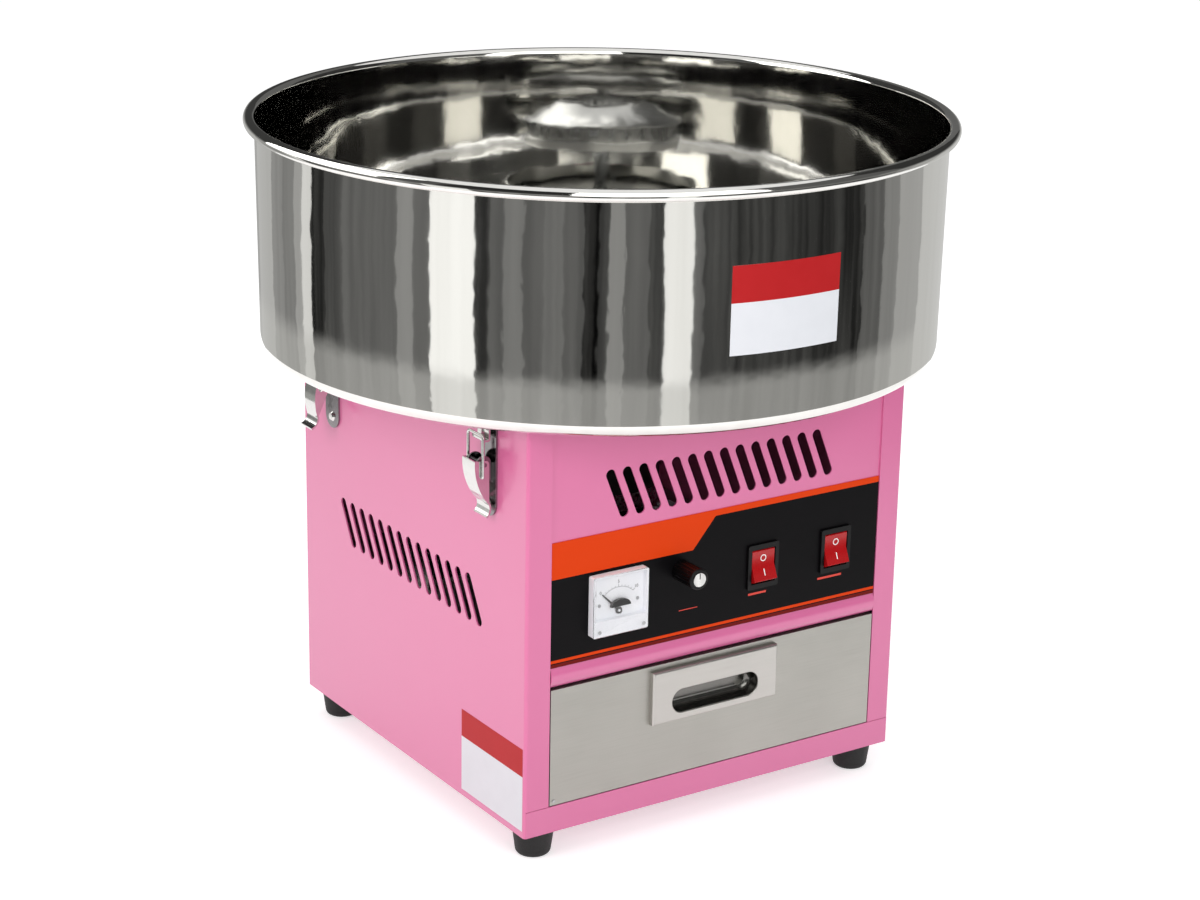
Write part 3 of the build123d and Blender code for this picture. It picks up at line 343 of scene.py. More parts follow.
def mirror_stainless(name, first, second, wave=0.35):
    """Deep-drawn stainless sheet, polished to a mirror: the sheet's slow waves, about 40 mm long and a few tenths
    deep, bend what it reflects, and faint polishing lines run round it."""
    finish, tree, shader, where = new_finish(name, Metallic=1.0)
    flat = put(tree, "Mapping", {"Scale": (1, 1, 0.04)}, {"Vector": where})
    lines = put(tree, "TexNoise", {"Scale": per_metre(14), "Detail": 2}, {"Vector": flat.outputs["Vector"]})
    colour = put(tree, "Mix", {MIX_FIRST: linear(first), MIX_SECOND: linear(second)},
                 {0: lines.outputs["Fac"]}, data_type="RGBA")
    gloss = put(tree, "MapRange", {"From Min": 0.3, "From Max": 0.7, "To Min": 0.04, "To Max": 0.06},
                {"Value": lines.outputs["Fac"]})
    sheet = put(tree, "TexNoise", {"Scale": per_metre(40), "Detail": 2.5}, {"Vector": where})
    bump = put(tree, "Bump", {"Strength": 0.5, "Distance": wave * MM}, {"Height": sheet.outputs["Fac"]})
    lead(tree, shader, Base_Color=colour.outputs[MIXED], Roughness=gloss.outputs["Result"],
         Normal=bump.outputs["Normal"])
    return finish


def brushed_stainless(name, first, second, low=0.34, high=0.50):
    """Stainless sheet brushed with a belt: fine grain along the sheet, drawn 0.7 mm apart, and soft cloudy patches
    where hands have wiped it."""
    finish, tree, shader, where = new_finish(name, Metallic=1.0)
    along = put(tree, "Mapping", {"Scale": (0.02, 1, 1)}, {"Vector": where})
    grain = put(tree, "TexNoise", {"Scale": per_metre(0.7), "Detail": 5}, {"Vector": along.outputs["Vector"]})
    clouds = put(tree, "TexNoise", {"Scale": per_metre(60), "Detail": 2}, {"Vector": where})
    colour = put(tree, "Mix", {MIX_FIRST: linear(first), MIX_SECOND: linear(second)},
                 {0: clouds.outputs["Fac"]}, data_type="RGBA")
    gloss = put(tree, "MapRange", {"From Min": 0.3, "From Max": 0.7, "To Min": low, "To Max": high},
                {"Value": grain.outputs["Fac"]})
    bump = put(tree, "Bump", {"Strength": 0.3, "Distance": 0.01 * MM}, {"Height": grain.outputs["Fac"]})
    lead(tree, shader, Base_Color=colour.outputs[MIXED], Roughness=gloss.outputs["Result"],
         Normal=bump.outputs["Normal"])
    return finish


def plated(name, first, second, low=0.06, high=0.16):
    """Nickel, zinc or bare metal on a pressed or turned part: near mirror, with duller patches a few
    millimetres across and the slight waves of the pressing."""
    finish, tree, shader, where = new_finish(name, Metallic=1.0)
    patches = put(tree, "TexNoise", {"Scale": per_metre(6), "Detail": 3}, {"Vector": where})
    colour = put(tree, "Mix", {MIX_FIRST: linear(first), MIX_SECOND: linear(second)},
                 {0: patches.outputs["Fac"]}, data_type="RGBA")
    gloss = put(tree, "MapRange", {"From Min": 0.3, "From Max": 0.7, "To Min": low, "To Max": high},
                {"Value": patches.outputs["Fac"]})
    waves = put(tree, "TexNoise", {"Scale": per_metre(9)}, {"Vector": where})
    bump = put(tree, "Bump", {"Strength": 0.25, "Distance": 0.05 * MM}, {"Height": waves.outputs["Fac"]})
    lead(tree, shader, Base_Color=colour.outputs[MIXED], Roughness=gloss.outputs["Result"],
         Normal=bump.outputs["Normal"])
    return finish


def spun_aluminium(name, first, second):
    """Aluminium turned or spun on a lathe: fine rings round the axis, drawn 1.4 mm apart so that they show."""
    finish, tree, shader, where = new_finish(name, Metallic=1.0)
    rings = put(tree, "TexWave", {"Scale": per_metre(1.4) / math.pi, "Distortion": 1.5, "Detail": 2},
                {"Vector": where}, wave_type="RINGS", rings_direction="Z")
    clouds = put(tree, "TexNoise", {"Scale": per_metre(12), "Detail": 3}, {"Vector": where})
    colour = put(tree, "Mix", {MIX_FIRST: linear(first), MIX_SECOND: linear(second)},
                 {0: clouds.outputs["Fac"]}, data_type="RGBA")
    gloss = put(tree, "MapRange", {"To Min": 0.20, "To Max": 0.34}, {"Value": rings.outputs["Fac"]})
    bump = put(tree, "Bump", {"Strength": 0.3, "Distance": 0.015 * MM}, {"Height": rings.outputs["Fac"]})
    lead(tree, shader, Base_Color=colour.outputs[MIXED], Roughness=gloss.outputs["Result"],
         Normal=bump.outputs["Normal"])
    return finish


def moulded(name, first, second, roughness, grain=0.8, **values):
    """Moulded plastic or rubber, pressed carbon or a coat of ink: an even colour, cloudy by a shade over 14 mm, and
    the fine texture of the mould, so many millimetres across."""
    finish, tree, shader, where = new_finish(name, IOR=1.49, **values)
    clouds = put(tree, "TexNoise", {"Scale": per_metre(14), "Detail": 3}, {"Vector": where})
    colour = put(tree, "Mix", {MIX_FIRST: linear(first), MIX_SECOND: linear(second)},
                 {0: clouds.outputs["Fac"]}, data_type="RGBA")
    specks = put(tree, "TexNoise", {"Scale": per_metre(grain), "Detail": 2}, {"Vector": where})
    gloss = put(tree, "MapRange", {"From Min": 0.3, "From Max": 0.7, "To Min": roughness - 0.05,
                                   "To Max": roughness + 0.05}, {"Value": specks.outputs["Fac"]})
    bump = put(tree, "Bump", {"Strength": 0.3, "Distance": 0.02 * MM}, {"Height": specks.outputs["Fac"]})
    lead(tree, shader, Base_Color=colour.outputs[MIXED], Roughness=gloss.outputs["Result"],
         Normal=bump.outputs["Normal"])
    return finish


def clear_acrylic(name):
    """Clear cast acrylic: a colourless window with a slight gloss and a breath of dust."""
    finish, tree, shader, where = new_finish(name, IOR=1.49, Transmission_Weight=1.0)
    dust = put(tree, "TexNoise", {"Scale": per_metre(8), "Detail": 4}, {"Vector": where})
    gloss = put(tree, "MapRange", {"From Min": 0.3, "From Max": 0.7, "To Min": 0.01, "To Max": 0.05},
                {"Value": dust.outputs["Fac"]})
    lead(tree, shader, Roughness=gloss.outputs["Result"])
    return finish


film_low, film_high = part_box("control_fascia")
BAND_TALL = 27 * MM  # of the wide stretch at the left
BAND_THIN = 4.5 * MM
BAND_END = -24 * MM  # where the wide stretch starts to slant
BAND_TIP = -5 * MM  # where it has become the thin stretch
LINE_LOW = film_low.z + 3.5 * MM
LINE_HIGH = film_low.z + 5.7 * MM
RED_LOW = film_low.z + 0.1 * MM
RED_HIGH = film_low.z + 2.7 * MM


def printed_film(name):
    """Polycarbonate film printed from behind and matt in front: a near-black ground with an orange band that steps
    down from wide to thin, an orange line and a dark red one."""
    finish, tree, shader, where = new_finish(name, IOR=1.58, Roughness=0.42, Specular_IOR_Level=0.07)
    x, _, z = put(tree, "SeparateXYZ", links={"Vector": where}).outputs
    slant = put(tree, "MapRange", {"From Min": BAND_END, "From Max": BAND_TIP, "To Min": film_high.z - BAND_TALL,
                                   "To Max": film_high.z - BAND_THIN}, {"Value": x})
    band = put(tree, "Math", links={0: z, 1: slant.outputs["Result"]}, operation="GREATER_THAN")
    masks = []
    for low, high in ((LINE_LOW, LINE_HIGH), (RED_LOW, RED_HIGH)):
        over = put(tree, "Math", {1: low}, {0: z}, operation="GREATER_THAN")
        under = put(tree, "Math", {1: high}, {0: z}, operation="LESS_THAN")
        masks.append(put(tree, "Math", links={0: over.outputs[0], 1: under.outputs[0]}, operation="MULTIPLY"))
    line, red = masks
    orange = put(tree, "Math", links={0: band.outputs[0], 1: line.outputs[0]}, operation="MAXIMUM")
    clouds = put(tree, "TexNoise", {"Scale": per_metre(50), "Detail": 2}, {"Vector": where})
    ground = put(tree, "Mix", {MIX_FIRST: linear("#070608"), MIX_SECOND: linear("#0B0A0C")},
                 {0: clouds.outputs["Fac"]}, data_type="RGBA")
    ruled = put(tree, "Mix", {MIX_SECOND: linear("#6E1410")},
                {0: red.outputs[0], MIX_FIRST: ground.outputs[MIXED]}, data_type="RGBA")
    colour = put(tree, "Mix", {MIX_SECOND: linear("#DC400C")},
                 {0: orange.outputs[0], MIX_FIRST: ruled.outputs[MIXED]}, data_type="RGBA")
    matt = put(tree, "TexNoise", {"Scale": per_metre(1.0), "Detail": 2}, {"Vector": where})
    bump = put(tree, "Bump", {"Strength": 0.3, "Distance": 0.01 * MM}, {"Height": matt.outputs["Fac"]})
    lead(tree, shader, Base_Color=colour.outputs[MIXED], Normal=bump.outputs["Normal"])
    return finish


finishes = {
    "pink_enamel": powder_coat("pink_powder_coat", "#D5679A", "#D86C9E"),
    "polished_steel": mirror_stainless("mirror_polished_stainless", "#D9D8D4", "#E6E5E2"),
    "brushed_stainless": brushed_stainless("belt_brushed_stainless", "#A8A7A1", "#B4B3AD"),
    "latch_steel": plated("nickel_plated_steel", "#C9C9C6", "#DADAD8"),
    "zinc_steel": plated("zinc_plated_steel", "#A9ABAD", "#BDBFC0", 0.22, 0.38),
    "spun_aluminium": spun_aluminium("spun_aluminium", "#D2D2D0", "#DEDEDC"),
    "black_enamel": powder_coat("black_powder_coat", "#161616", "#1D1D1D"),
    "copper": plated("turned_copper", "#C07850", "#CF8A62", 0.12, 0.24),
    "carbon": moulded("pressed_carbon", "#141414", "#1C1C1C", 0.6),
    "black_rubber": moulded("moulded_black_rubber", "#0C0C0C", "#151515", 0.62, 1.2),
    "black_plastic": moulded("black_abs", "#060607", "#0A0A0B", 0.40, Specular_IOR_Level=0.25),
    "fascia_film": printed_film("printed_polycarbonate_film"),
    "white_plastic": moulded("white_abs", "#F2F5FB", "#F8FAFE", 0.32),
    "dial_white": moulded("printed_dial_card", "#F6F9FF", "#FCFDFF", 0.5),
    "clear_plastic": clear_acrylic("clear_acrylic"),
    "red_plastic": moulded("red_polycarbonate", "#A8080E", "#B20E14", 0.2),
    "needle_black": moulded("black_painted_aluminium", "#0A0A0A", "#121212", 0.45),
}
black_ink = moulded("black_printing_ink", "#101012", "#17171A", 0.5)
grey_ink = moulded("grey_printing_ink", "#8E9096", "#989AA0", 0.5)
white_ink = moulded("white_printing_ink", "#F4F4F2", "#FAFAF8", 0.45)
red_ink = moulded("red_printing_ink", "#D8382A", "#E04434", 0.45)
white_vinyl = moulded("white_vinyl", "#D9DCE1", "#E0E3E8", 0.40, Specular_IOR_Level=0.2)
red_vinyl = moulded("red_vinyl", "#AE1418", "#B71C20", 0.40, Specular_IOR_Level=0.2)
handle_steel = brushed_stainless("satin_stainless_pressing", "#BAB8B3", "#C4C2BE", 0.28, 0.42)
# The handle's pocket: stainless darkened as painted shade in the recess
pocket_steel_painted_shade = plated("drawn_stainless_pocket_painted_shade", "#6C6B68", "#7A7976", 0.16, 0.26)
# Latch base plates: nickel darkened as painted shade of the bowl above them, with a faint pink cast as a painted
# reflection of the cabinet
nickel_painted_shade = plated("nickel_plate_painted_shade", "#7C787A", "#8C888A", 0.08, 0.20)

for node, piece in frame["nodes"].items():
    piece.data.materials.clear()
    piece.data.materials.append(finishes[slot_of[node]])
# the handle's pocket takes the stainless darkened as painted shade of its recess
frame["nodes"]["handle_pocket"].data.materials[0] = pocket_steel_painted_shade


# ---- Bowl: one turned sheet from the collar round its hole to the rolled rim ----
bowl_low, bowl_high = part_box("bowl")
SHEET = 1.0 * MM
BEAD = 3.9 * MM  # at the middle of the sheet
BEAD_SWEEP = 310
COLLAR_TALL = 12 * MM
COLLAR_BEND = 4 * MM
BOWL_CORNER = 9 * MM
HOLE = 70.5 * MM
WALL_LEAN = 1.5 * MM
rim_radius = bowl_high.x - SHEET / 2 - 2 * BEAD
low_radius = rim_radius - WALL_LEAN
floor_z = bowl_low.z + SHEET / 2
bead_z = bowl_high.z - BEAD - SHEET / 2
wall_foot = floor_z + BOWL_CORNER
wall_tall = bead_z - floor_z - BOWL_CORNER

bowl_rings = [(HOLE, bowl_low.z + COLLAR_TALL)]
bowl_rings += arc((HOLE + COLLAR_BEND, floor_z + COLLAR_BEND), COLLAR_BEND, 180, 90, 6)
bowl_rings += [(r * MM, floor_z) for r in (100, 140, 180, 220)]
bowl_rings += arc((low_radius - BOWL_CORNER, floor_z + BOWL_CORNER), BOWL_CORNER, -90, 90, 10)
bowl_rings += [(low_radius + WALL_LEAN * share, wall_foot + wall_tall * share) for share in (0.25, 0.5, 0.75)]
bowl_rings += arc((rim_radius + BEAD, bead_z), BEAD, 180, -BEAD_SWEEP, 20)
bowl_shell = walled(turned(bowl_rings, 256), SHEET)
hold(bowl_shell)
bpy.ops.object.shade_smooth_by_angle(angle=math.radians(50))
fit_out(bowl_shell, "bowl_shell", "bowl")
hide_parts("bowl")


# ---- CAD nodes whose edges are softened ----
for node in (
    "left_side_panel", "right_side_panel", "front_panel", "base_pan", "rear_panel", "top_deck", "divider_shelf",
    "control_fascia", "drawer_front", "drawer_tray", "meter_case", "meter_cover", "power_switch_housing",
    "heater_switch_housing", "power_rocker", "heater_rocker", "bowl_strikes", "motor_plate", "heat_regulator",
    "terminal_block", "cable_gland",
):
    dressed(node)
dressed("drawer_handle", finish=handle_steel)
# the latch bases take the nickel darkened by painted shade and a painted pink reflection
dressed("latch_bases", finish=nickel_painted_shade)
for node in (
    "feet", "foot_screws", "panel_screws", "latch_rivets", "control_knob", "heat_potentiometer", "bowl_gasket",
    "motor_dampers", "motor_stator", "motor_end_bells", "motor_bearings", "motor_screws", "motor_shaft",
    "motor_rotor", "cooling_fan", "slip_ring_hub", "slip_rings", "brush_holder", "spinner_base",
    "spinner_band", "spinner_cone", "heater_coil", "head_nut",
    *[f"{place}_latch_{part}" for place in ("front_left", "rear_left", "front_right", "rear_right")
      for part in ("lever", "bail")],
):
    dressed(node, edge=0)
cover = bpy.data.objects["meter_cover_dressed"]  # lets the light through to the dial
cover.visible_shadow = False
cover.visible_diffuse = False


# ---- Meter: printed scale, pivot boss and screws ----
case_low, case_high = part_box("meter_case")
dial_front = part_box("meter_needle")[1].y + 0.7 * MM  # the card's face, behind the needle
cover_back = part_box("meter_cover")[1].y
PIVOT_X = (case_low.x + case_high.x) / 2
PIVOT_Z = (case_low.z + case_high.z) / 2 - 6 * MM
SCALE_RADIUS = 17 * MM
SCALE_HALF = 45  # degrees to each side of straight up
SCALE_LINE = 0.35 * MM
LONG_STROKE, SHORT_STROKE = 2.4 * MM, 1.5 * MM
STROKE_HALF = 0.6  # degrees
NUMBER_RADIUS = SCALE_RADIUS + 4.2 * MM
NUMBER_TALL = 2.4 * MM
BOSS_HALF_WIDE, BOSS_TALL, BOSS_THICK = 8.4 * MM, 5.5 * MM, 2.2 * MM
BOSS_RISE = 4 * MM  # over the needle's pivot
SCREW_RADIUS, SCREW_TALL = 1.3 * MM, 0.7 * MM


def scale_stretch(inner, outer, start, end):
    return walled(sector(turned([(inner, 0), (outer, 0)], 360), start, end), 2 * INK)


strokes = [scale_stretch(SCALE_RADIUS, SCALE_RADIUS + SCALE_LINE, -SCALE_HALF, SCALE_HALF)]
for step in range(11):
    azimuth = SCALE_HALF * (step / 5 - 1)
    long = LONG_STROKE if step % 5 == 0 else SHORT_STROKE
    strokes.append(scale_stretch(SCALE_RADIUS, SCALE_RADIUS + long, azimuth - STROKE_HALF, azimuth + STROKE_HALF))
scale = joined(strokes)
scale.rotation_euler = (math.radians(-90), 0, 0)
scale.location = (PIVOT_X, dial_front - INK, PIVOT_Z)
apply_place(scale)
fit_out(scale, "meter_scale", "meter_dial", grey_ink)
for number, azimuth in (("0", -SCALE_HALF), ("5", 0), ("10", SCALE_HALF)):
    x = PIVOT_X + NUMBER_RADIUS * math.sin(math.radians(azimuth))
    z = PIVOT_Z + NUMBER_RADIUS * math.cos(math.radians(azimuth))
    fit_out(printed(number, NUMBER_TALL, x, dial_front - INK, z), f"meter_number_{number}", "meter_dial", black_ink)


def half_disc(half_wide, tall, thick):
    """A flat arch lying on its back, straight along its lower side."""
    select_none()
    bpy.ops.mesh.primitive_cylinder_add(vertices=64, radius=half_wide, depth=thick, location=(0, 0, thick / 2))
    arch = bpy.context.object
    arch.scale = (1, tall / half_wide, 1)
    apply_place(arch)
    edit(arch)
    bpy.ops.mesh.bisect(plane_co=(0, 0, 0), plane_no=(0, 1, 0), clear_inner=True, use_fill=True)
    close_edit()
    return arch


boss = half_disc(BOSS_HALF_WIDE, BOSS_TALL, BOSS_THICK)
bevel(boss, 0.3 * MM, 3)
round_off(boss)
facing_front(boss, PIVOT_X, cover_back + BOSS_THICK, PIVOT_Z + BOSS_RISE)
fit_out(boss, "meter_pivot_boss", "meter_cover", finishes["black_plastic"])
cover_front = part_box("meter_cover")[0].y
METER_SCREWS = (  # mm right of the needle's pivot and over it, and the face that the head lies on
    (-16, 5.8, dial_front), (16, 5.8, dial_front), (-18.5, -12, cover_front), (18.5, -12, cover_front),
)
for number, (right, up, face) in enumerate(METER_SCREWS):
    screw = slotted_screw(SCREW_RADIUS, SCREW_TALL, 25 + 40 * number)
    round_off(screw)
    facing_front(screw, PIVOT_X + right * MM, face, PIVOT_Z + up * MM)
    fit_out(screw, f"meter_screw_{number}", "meter_case", finishes["zinc_steel"])


# ---- Knob cap and pointer, switch marks, dashes on the film ----
knob_low, knob_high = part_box("control_knob")
KNOB_X = (knob_low.x + knob_high.x) / 2
KNOB_Z = (knob_low.z + knob_high.z) / 2
CAP_RADIUS, CAP = 5.2 * MM, 0.8 * MM
POINTER_WIDE, POINTER_LONG = 0.8 * MM, 4.2 * MM
POINTER_OUT = 2.6 * MM  # of its middle from the knob's axis
cap = disc(CAP_RADIUS, CAP, 64, 0.25 * MM)
round_off(cap)
facing_front(cap, KNOB_X, knob_low.y, KNOB_Z)
fit_out(cap, "knob_cap", "control_knob", finishes["spun_aluminium"])
pointer = bar(POINTER_WIDE, POINTER_LONG, 2 * INK, y=POINTER_OUT)
facing_front(pointer, KNOB_X, knob_low.y - CAP + INK, KNOB_Z)
fit_out(pointer, "knob_pointer", "control_knob", black_ink)

OFF_INNER, OFF_OUTER = 1.9 * MM, 2.6 * MM
ON_WIDE, ON_TALL = 0.8 * MM, 5 * MM
# On a rocker at rest: depth and height of each mark, and how far the face under it leans back
OFF_Y, OFF_Z, OFF_LEAN = -164.10 * MM, 196.08 * MM, -1.76
ON_Y, ON_Z, ON_LEAN = -166.13 * MM, 185.68 * MM, 23.76
for switch, x in (("power", 37.5 * MM), ("heater", 103.5 * MM)):
    off = walled(turned([(OFF_INNER, 0), (OFF_OUTER, 0)], 64), 2 * INK)
    facing_front(off, x, OFF_Y, OFF_Z, OFF_LEAN)
    fit_out(off, f"{switch}_off_mark", f"{switch}_rocker", white_ink)
    on = facing_front(bar(ON_WIDE, ON_TALL, 2 * INK, z=-INK), x, ON_Y, ON_Z, ON_LEAN)
    fit_out(on, f"{switch}_on_mark", f"{switch}_rocker", white_ink)

MARK_ROW = 169 * MM
MARK_TALL = 1.6 * MM
MARKS = (  # middle and width in mm, and the height of the left end as a share
    ("heat_wedge", -27, 16, 0.35), ("power_dash", 34, 16, 1), ("heater_dash", 100, 22, 1),
)
for name, x, wide, thin_end in MARKS:
    mark = bar(wide * MM, MARK_TALL, 2 * INK)
    for corner in mark.data.vertices:
        corner.select = corner.co.x < 0
    hold(mark)
    bpy.ops.object.mode_set(mode="EDIT")
    bpy.ops.transform.resize(value=(1, thin_end, 1), center_override=(0, 0, 0))
    close_edit()
    facing_front(mark, x * MM, film_low.y + INK, MARK_ROW)
    fit_out(mark, name, "control_fascia", red_ink)


# ---- Bare plates, red over white, on the bowl and on the left side; a rivet on the drawer ----
def bowl_outside(height):
    """Radius of the bowl's outer face at a height."""
    share = (height - floor_z - BOWL_CORNER) / wall_tall
    return low_radius + WALL_LEAN * share + SHEET / 2


PLATE = 0.15 * MM
BOWL_PLATES = (("white", 382, 418, white_vinyl), ("red", 418, 443.6, red_vinyl))  # lower and upper edge in mm
BOWL_PLATE_START, BOWL_PLATE_END = -13.3, 6.2  # azimuths
for name, low, high, finish in BOWL_PLATES:
    rings = [(bowl_outside(z * MM) + PLATE * 0.6, z * MM) for z in (low, high)]
    plate = walled(sector(turned(rings, 360), BOWL_PLATE_START, BOWL_PLATE_END), PLATE)
    round_off(plate)
    fit_out(plate, f"bowl_plate_{name}", "bowl", finish)
side_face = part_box("left_side_panel")[0].x
SIDE_PLATES = (("white", 27, 69, white_vinyl), ("red", 69, 90, red_vinyl))
SIDE_PLATE_WIDE = 83.5 * MM
SIDE_PLATE_Y = -118.25 * MM
for name, low, high, finish in SIDE_PLATES:
    plate = bar(SIDE_PLATE_WIDE, (high - low) * MM, PLATE)
    bevel(plate, 0.05 * MM, 1)
    plate.rotation_euler = (math.radians(90), 0, math.radians(-90))
    plate.location = (side_face, SIDE_PLATE_Y, (high + low) / 2 * MM)
    apply_place(plate)
    fit_out(plate, f"side_plate_{name}", "left_side_panel", finish)

drawer_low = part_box("drawer_front")[0]
RIVET_INSET = 3.2 * MM  # from the two edges of the drawer's front
rivet = disc(1.3 * MM, 0.6 * MM, 32, 0.3 * MM)
round_off(rivet)
facing_front(rivet, drawer_low.x + RIVET_INSET, drawer_low.y, drawer_low.z + RIVET_INSET)
fit_out(rivet, "drawer_corner_rivet", "drawer_front", finishes["zinc_steel"])


# ---- Studio: reflecting screen, floor, world, lamps, camera ----
SCREEN_TOP = 1.5
SCREEN_FOOT = 0.002
PALE = (0.62, 0.62, 0.60, 1)  # of the haze and of the screen's foot and head
BANDS = (  # azimuth where each band of the screen starts, 0 straight in front and 90 at the right, and its brightness
    (-180, 0.52), (-160, 0.30), (-150, 0.24), (-142, 0.42), (-137, 0.85), (-132, 0.01), (-124.5, 0.06),
    (-115.5, 0.13), (-95.5, 0.30), (-89.6, 0.14), (-83.5, 1.25), (-69.5, 0.03), (-65, 0.10), (-61.5, 0.22),
    (-56, 0.12), (-50.6, 0.17), (-44, 0.10), (-39, 0.9), (-38, 0.0), (-34.8, 0.05), (-31.8, 0.30), (-27.9, 0.12),
    (-20.2, 0.04), (-16.8, 1.1), (-7.4, 0.14), (-4.5, 0.05), (2.9, 0.015), (50, 0.10), (60, 0.25), (67.7, 0.42),
    (84, 0.62), (120, 0.40),
)
LIGHTS = (  # the same over the height where the bowl's outside stops seeing it, for the inside
    (-180, 0.05), (-150, 3.6), (-98, 0.10), (-80, 0.03), (-42, 2.8), (12, 0.12), (60, 0.04), (110, 0.14),
    (150, 0.05),
)
UPPER_START = 0.34
UPPER_FULL = 0.62
select_none()
bpy.ops.mesh.primitive_cylinder_add(
    vertices=240, radius=1.0, depth=SCREEN_TOP, end_fill_type="NOTHING",
    location=(0, 0, SCREEN_TOP / 2 + SCREEN_FOOT),
)
screen = bpy.context.object
screen.name = "studio_screen"
apply_place(screen)
paper = bpy.data.materials.new("glowing_paper")
paper.use_nodes = True
tree = paper.node_tree
tree.nodes.remove(tree.nodes["Principled BSDF"])
where = put(tree, "TexCoord").outputs["Object"]
around = put(tree, "SeparateXYZ", links={"Vector": where})
to_front = put(tree, "Math", {1: -1.0}, {0: around.outputs["Y"]}, operation="MULTIPLY")
azimuth = put(tree, "Math", links={0: around.outputs["X"], 1: to_front.outputs[0]}, operation="ARCTAN2")
rag = put(tree, "TexNoise", {"Scale": per_metre(22), "Detail": 4}, {"Vector": where})
shake = put(tree, "MapRange", {"To Min": math.radians(-1.6), "To Max": math.radians(1.6)},
            {"Value": rag.outputs["Fac"]})
shaken = put(tree, "Math", links={0: azimuth.outputs[0], 1: shake.outputs["Result"]}, operation="ADD")
share = put(tree, "MapRange", {"From Min": -math.pi, "From Max": math.pi}, {"Value": shaken.outputs[0]})
rows = []
for bands in (BANDS, LIGHTS):
    row = put(tree, "ValToRGB", links={"Fac": share.outputs["Result"]})
    row.color_ramp.interpolation = "CONSTANT"
    stops = row.color_ramp.elements
    for number, (start, brightness) in enumerate(bands):
        stop = stops[number] if number < 2 else stops.new(0.9999)
        stop.position = (start + 180) / 360
        stop.color = (brightness, brightness, brightness * 0.98, 1)
    rows.append(row)
tall = put(tree, "Mapping", {"Scale": (1, 1, 0.12)}, {"Vector": where})
smudges = put(tree, "TexNoise", {"Scale": per_metre(45), "Detail": 3}, {"Vector": tall.outputs["Vector"]})
haze = put(tree, "MapRange", {"From Min": 0.35, "From Max": 0.7, "To Min": 0.0, "To Max": 0.10},
           {"Value": smudges.outputs["Fac"]})
foot = put(tree, "MapRange", {"From Min": 0.085, "From Max": 0.125, "To Min": 0.5, "To Max": 0.0},
           {"Value": around.outputs["Z"]}, interpolation_type="SMOOTHSTEP")
head = put(tree, "MapRange", {"From Min": 0.25, "From Max": 0.32, "To Min": 0.0, "To Max": 0.30},
           {"Value": around.outputs["Z"]}, interpolation_type="SMOOTHSTEP")
ends = put(tree, "Math", links={0: foot.outputs["Result"], 1: head.outputs["Result"]}, operation="MAXIMUM")
pale = put(tree, "Math", links={0: haze.outputs["Result"], 1: ends.outputs[0]}, operation="ADD")
lower = put(tree, "Mix", {MIX_SECOND: PALE},
            {0: pale.outputs[0], MIX_FIRST: rows[0].outputs["Color"]}, data_type="RGBA")
above = put(tree, "MapRange", {"From Min": UPPER_START, "From Max": UPPER_FULL}, {"Value": around.outputs["Z"]},
            interpolation_type="SMOOTHSTEP")
colour = put(tree, "Mix", links={0: above.outputs["Result"], MIX_FIRST: lower.outputs[MIXED],
                                 MIX_SECOND: rows[1].outputs["Color"]}, data_type="RGBA")
glow = put(tree, "Emission", links={"Color": colour.outputs[MIXED]})
tree.links.new(glow.outputs["Emission"], tree.nodes["Material Output"].inputs["Surface"])
screen.data.materials.append(paper)
screen.visible_camera = False
screen.visible_diffuse = False
screen.visible_shadow = False
screen.visible_transmission = False
screen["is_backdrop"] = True

select_none()
bpy.ops.mesh.primitive_plane_add(size=24, location=(0, 0, 0))
floor = bpy.context.object
floor.name = "studio_floor"
floor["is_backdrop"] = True
floor_paint = bpy.data.materials.new("pale_floor_paint")
floor_paint.use_nodes = True
floor_tree = floor_paint.node_tree
floor_shader = floor_tree.nodes["Principled BSDF"]
floor_shader.inputs["Base Color"].default_value = (0.8, 0.8, 0.8, 1)
floor_shader.inputs["Roughness"].default_value = 0.9
floor_shader.inputs["Specular IOR Level"].default_value = 0.0


def seen_directly(tree):
    """1 for camera, glossy and transmission rays, which see the pale background."""
    path = put(tree, "LightPath")
    first = put(tree, "Math", links={0: path.outputs["Is Camera Ray"], 1: path.outputs["Is Glossy Ray"]},
                operation="MAXIMUM")
    both = put(tree, "Math", links={0: first.outputs[0], 1: path.outputs["Is Transmission Ray"]},
               operation="MAXIMUM")
    return both.outputs[0]


FLOOR_LIFT = 0.5
lift = put(floor_tree, "Math", {1: FLOOR_LIFT}, {0: seen_directly(floor_tree)}, operation="MULTIPLY")
floor_glow = put(floor_tree, "Emission", {"Color": (1, 1, 1, 1)}, {"Strength": lift.outputs[0]})
floor_sum = put(floor_tree, "AddShader", links={0: floor_shader.outputs[0], 1: floor_glow.outputs[0]})
floor_tree.links.new(floor_sum.outputs[0], floor_tree.nodes["Material Output"].inputs["Surface"])
floor.data.materials.append(floor_paint)

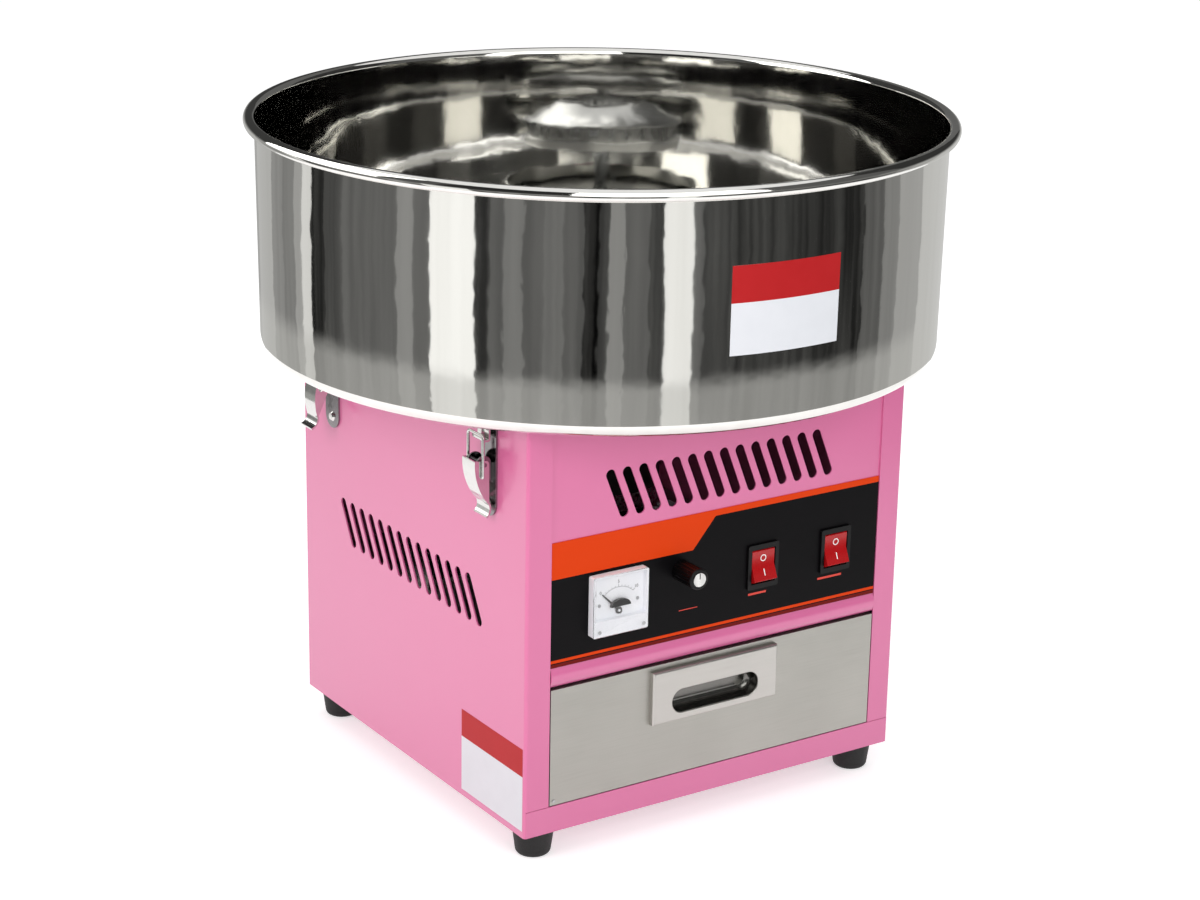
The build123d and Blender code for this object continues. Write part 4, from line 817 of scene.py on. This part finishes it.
WORLD_FILL = 0.62
world = bpy.data.worlds.new("studio")
bpy.context.scene.world = world
world.use_nodes = True
world_tree = world.node_tree
brightness = put(
    world_tree, "MapRange", {"To Min": WORLD_FILL, "To Max": 1.0}, {"Value": seen_directly(world_tree)},
)
world_tree.nodes["Background"].inputs["Color"].default_value = (1, 1, 1, 1)
world_tree.links.new(brightness.outputs["Result"], world_tree.nodes["Background"].inputs["Strength"])


def lamp(name, azimuth, height, distance, wide, tall, power, colour=(1, 1, 1)):
    """A soft box at an azimuth round the machine, aimed at the middle of the cabinet."""
    angle = math.radians(azimuth)
    spot = Vector((distance * math.sin(angle), -distance * math.cos(angle), height))
    select_none()
    bpy.ops.object.light_add(type="AREA", location=spot)
    box = bpy.context.object
    box.name = name
    box.rotation_euler = (Vector((0, 0, 0.2)) - spot).to_track_quat("-Z", "Y").to_euler()
    box.data.shape = "RECTANGLE"
    box.data.size = wide
    box.data.size_y = tall
    box.data.energy = power
    box.data.color = colour
    box.visible_glossy = False
    box.visible_camera = False


lamp("left_soft_box", -80, 0.9, 1.7, 1.0, 1.2, 13, (1, 0.87, 0.88))
lamp("front_soft_box", -8, 1.0, 1.9, 0.9, 1.2, 13.5)
lamp("top_soft_box", 150, 2.2, 0.8, 1.4, 1.4, 12)

AIM = Vector((2.6 * MM, -1.0 * MM, 237 * MM))
DISTANCE = 2.104
AZIMUTH, ELEVATION, ROLL = (math.radians(angle) for angle in (-33.6, 18.35, 1.06))
back = Vector((
    math.sin(AZIMUTH) * math.cos(ELEVATION), -math.cos(AZIMUTH) * math.cos(ELEVATION), math.sin(ELEVATION),
))
select_none()
bpy.ops.object.camera_add(location=AIM + back * DISTANCE)
camera = bpy.context.object
camera.rotation_mode = "QUATERNION"
camera.rotation_quaternion = (-back).to_track_quat("-Z", "Y") @ Quaternion((0, 0, 1), ROLL)
camera.data.lens = 83.4  # mm, on a sensor 36 mm wide
camera.data.sensor_width = 36
bpy.context.scene.camera = camera
bpy.context.scene.view_settings.view_transform = "Standard"

low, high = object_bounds()
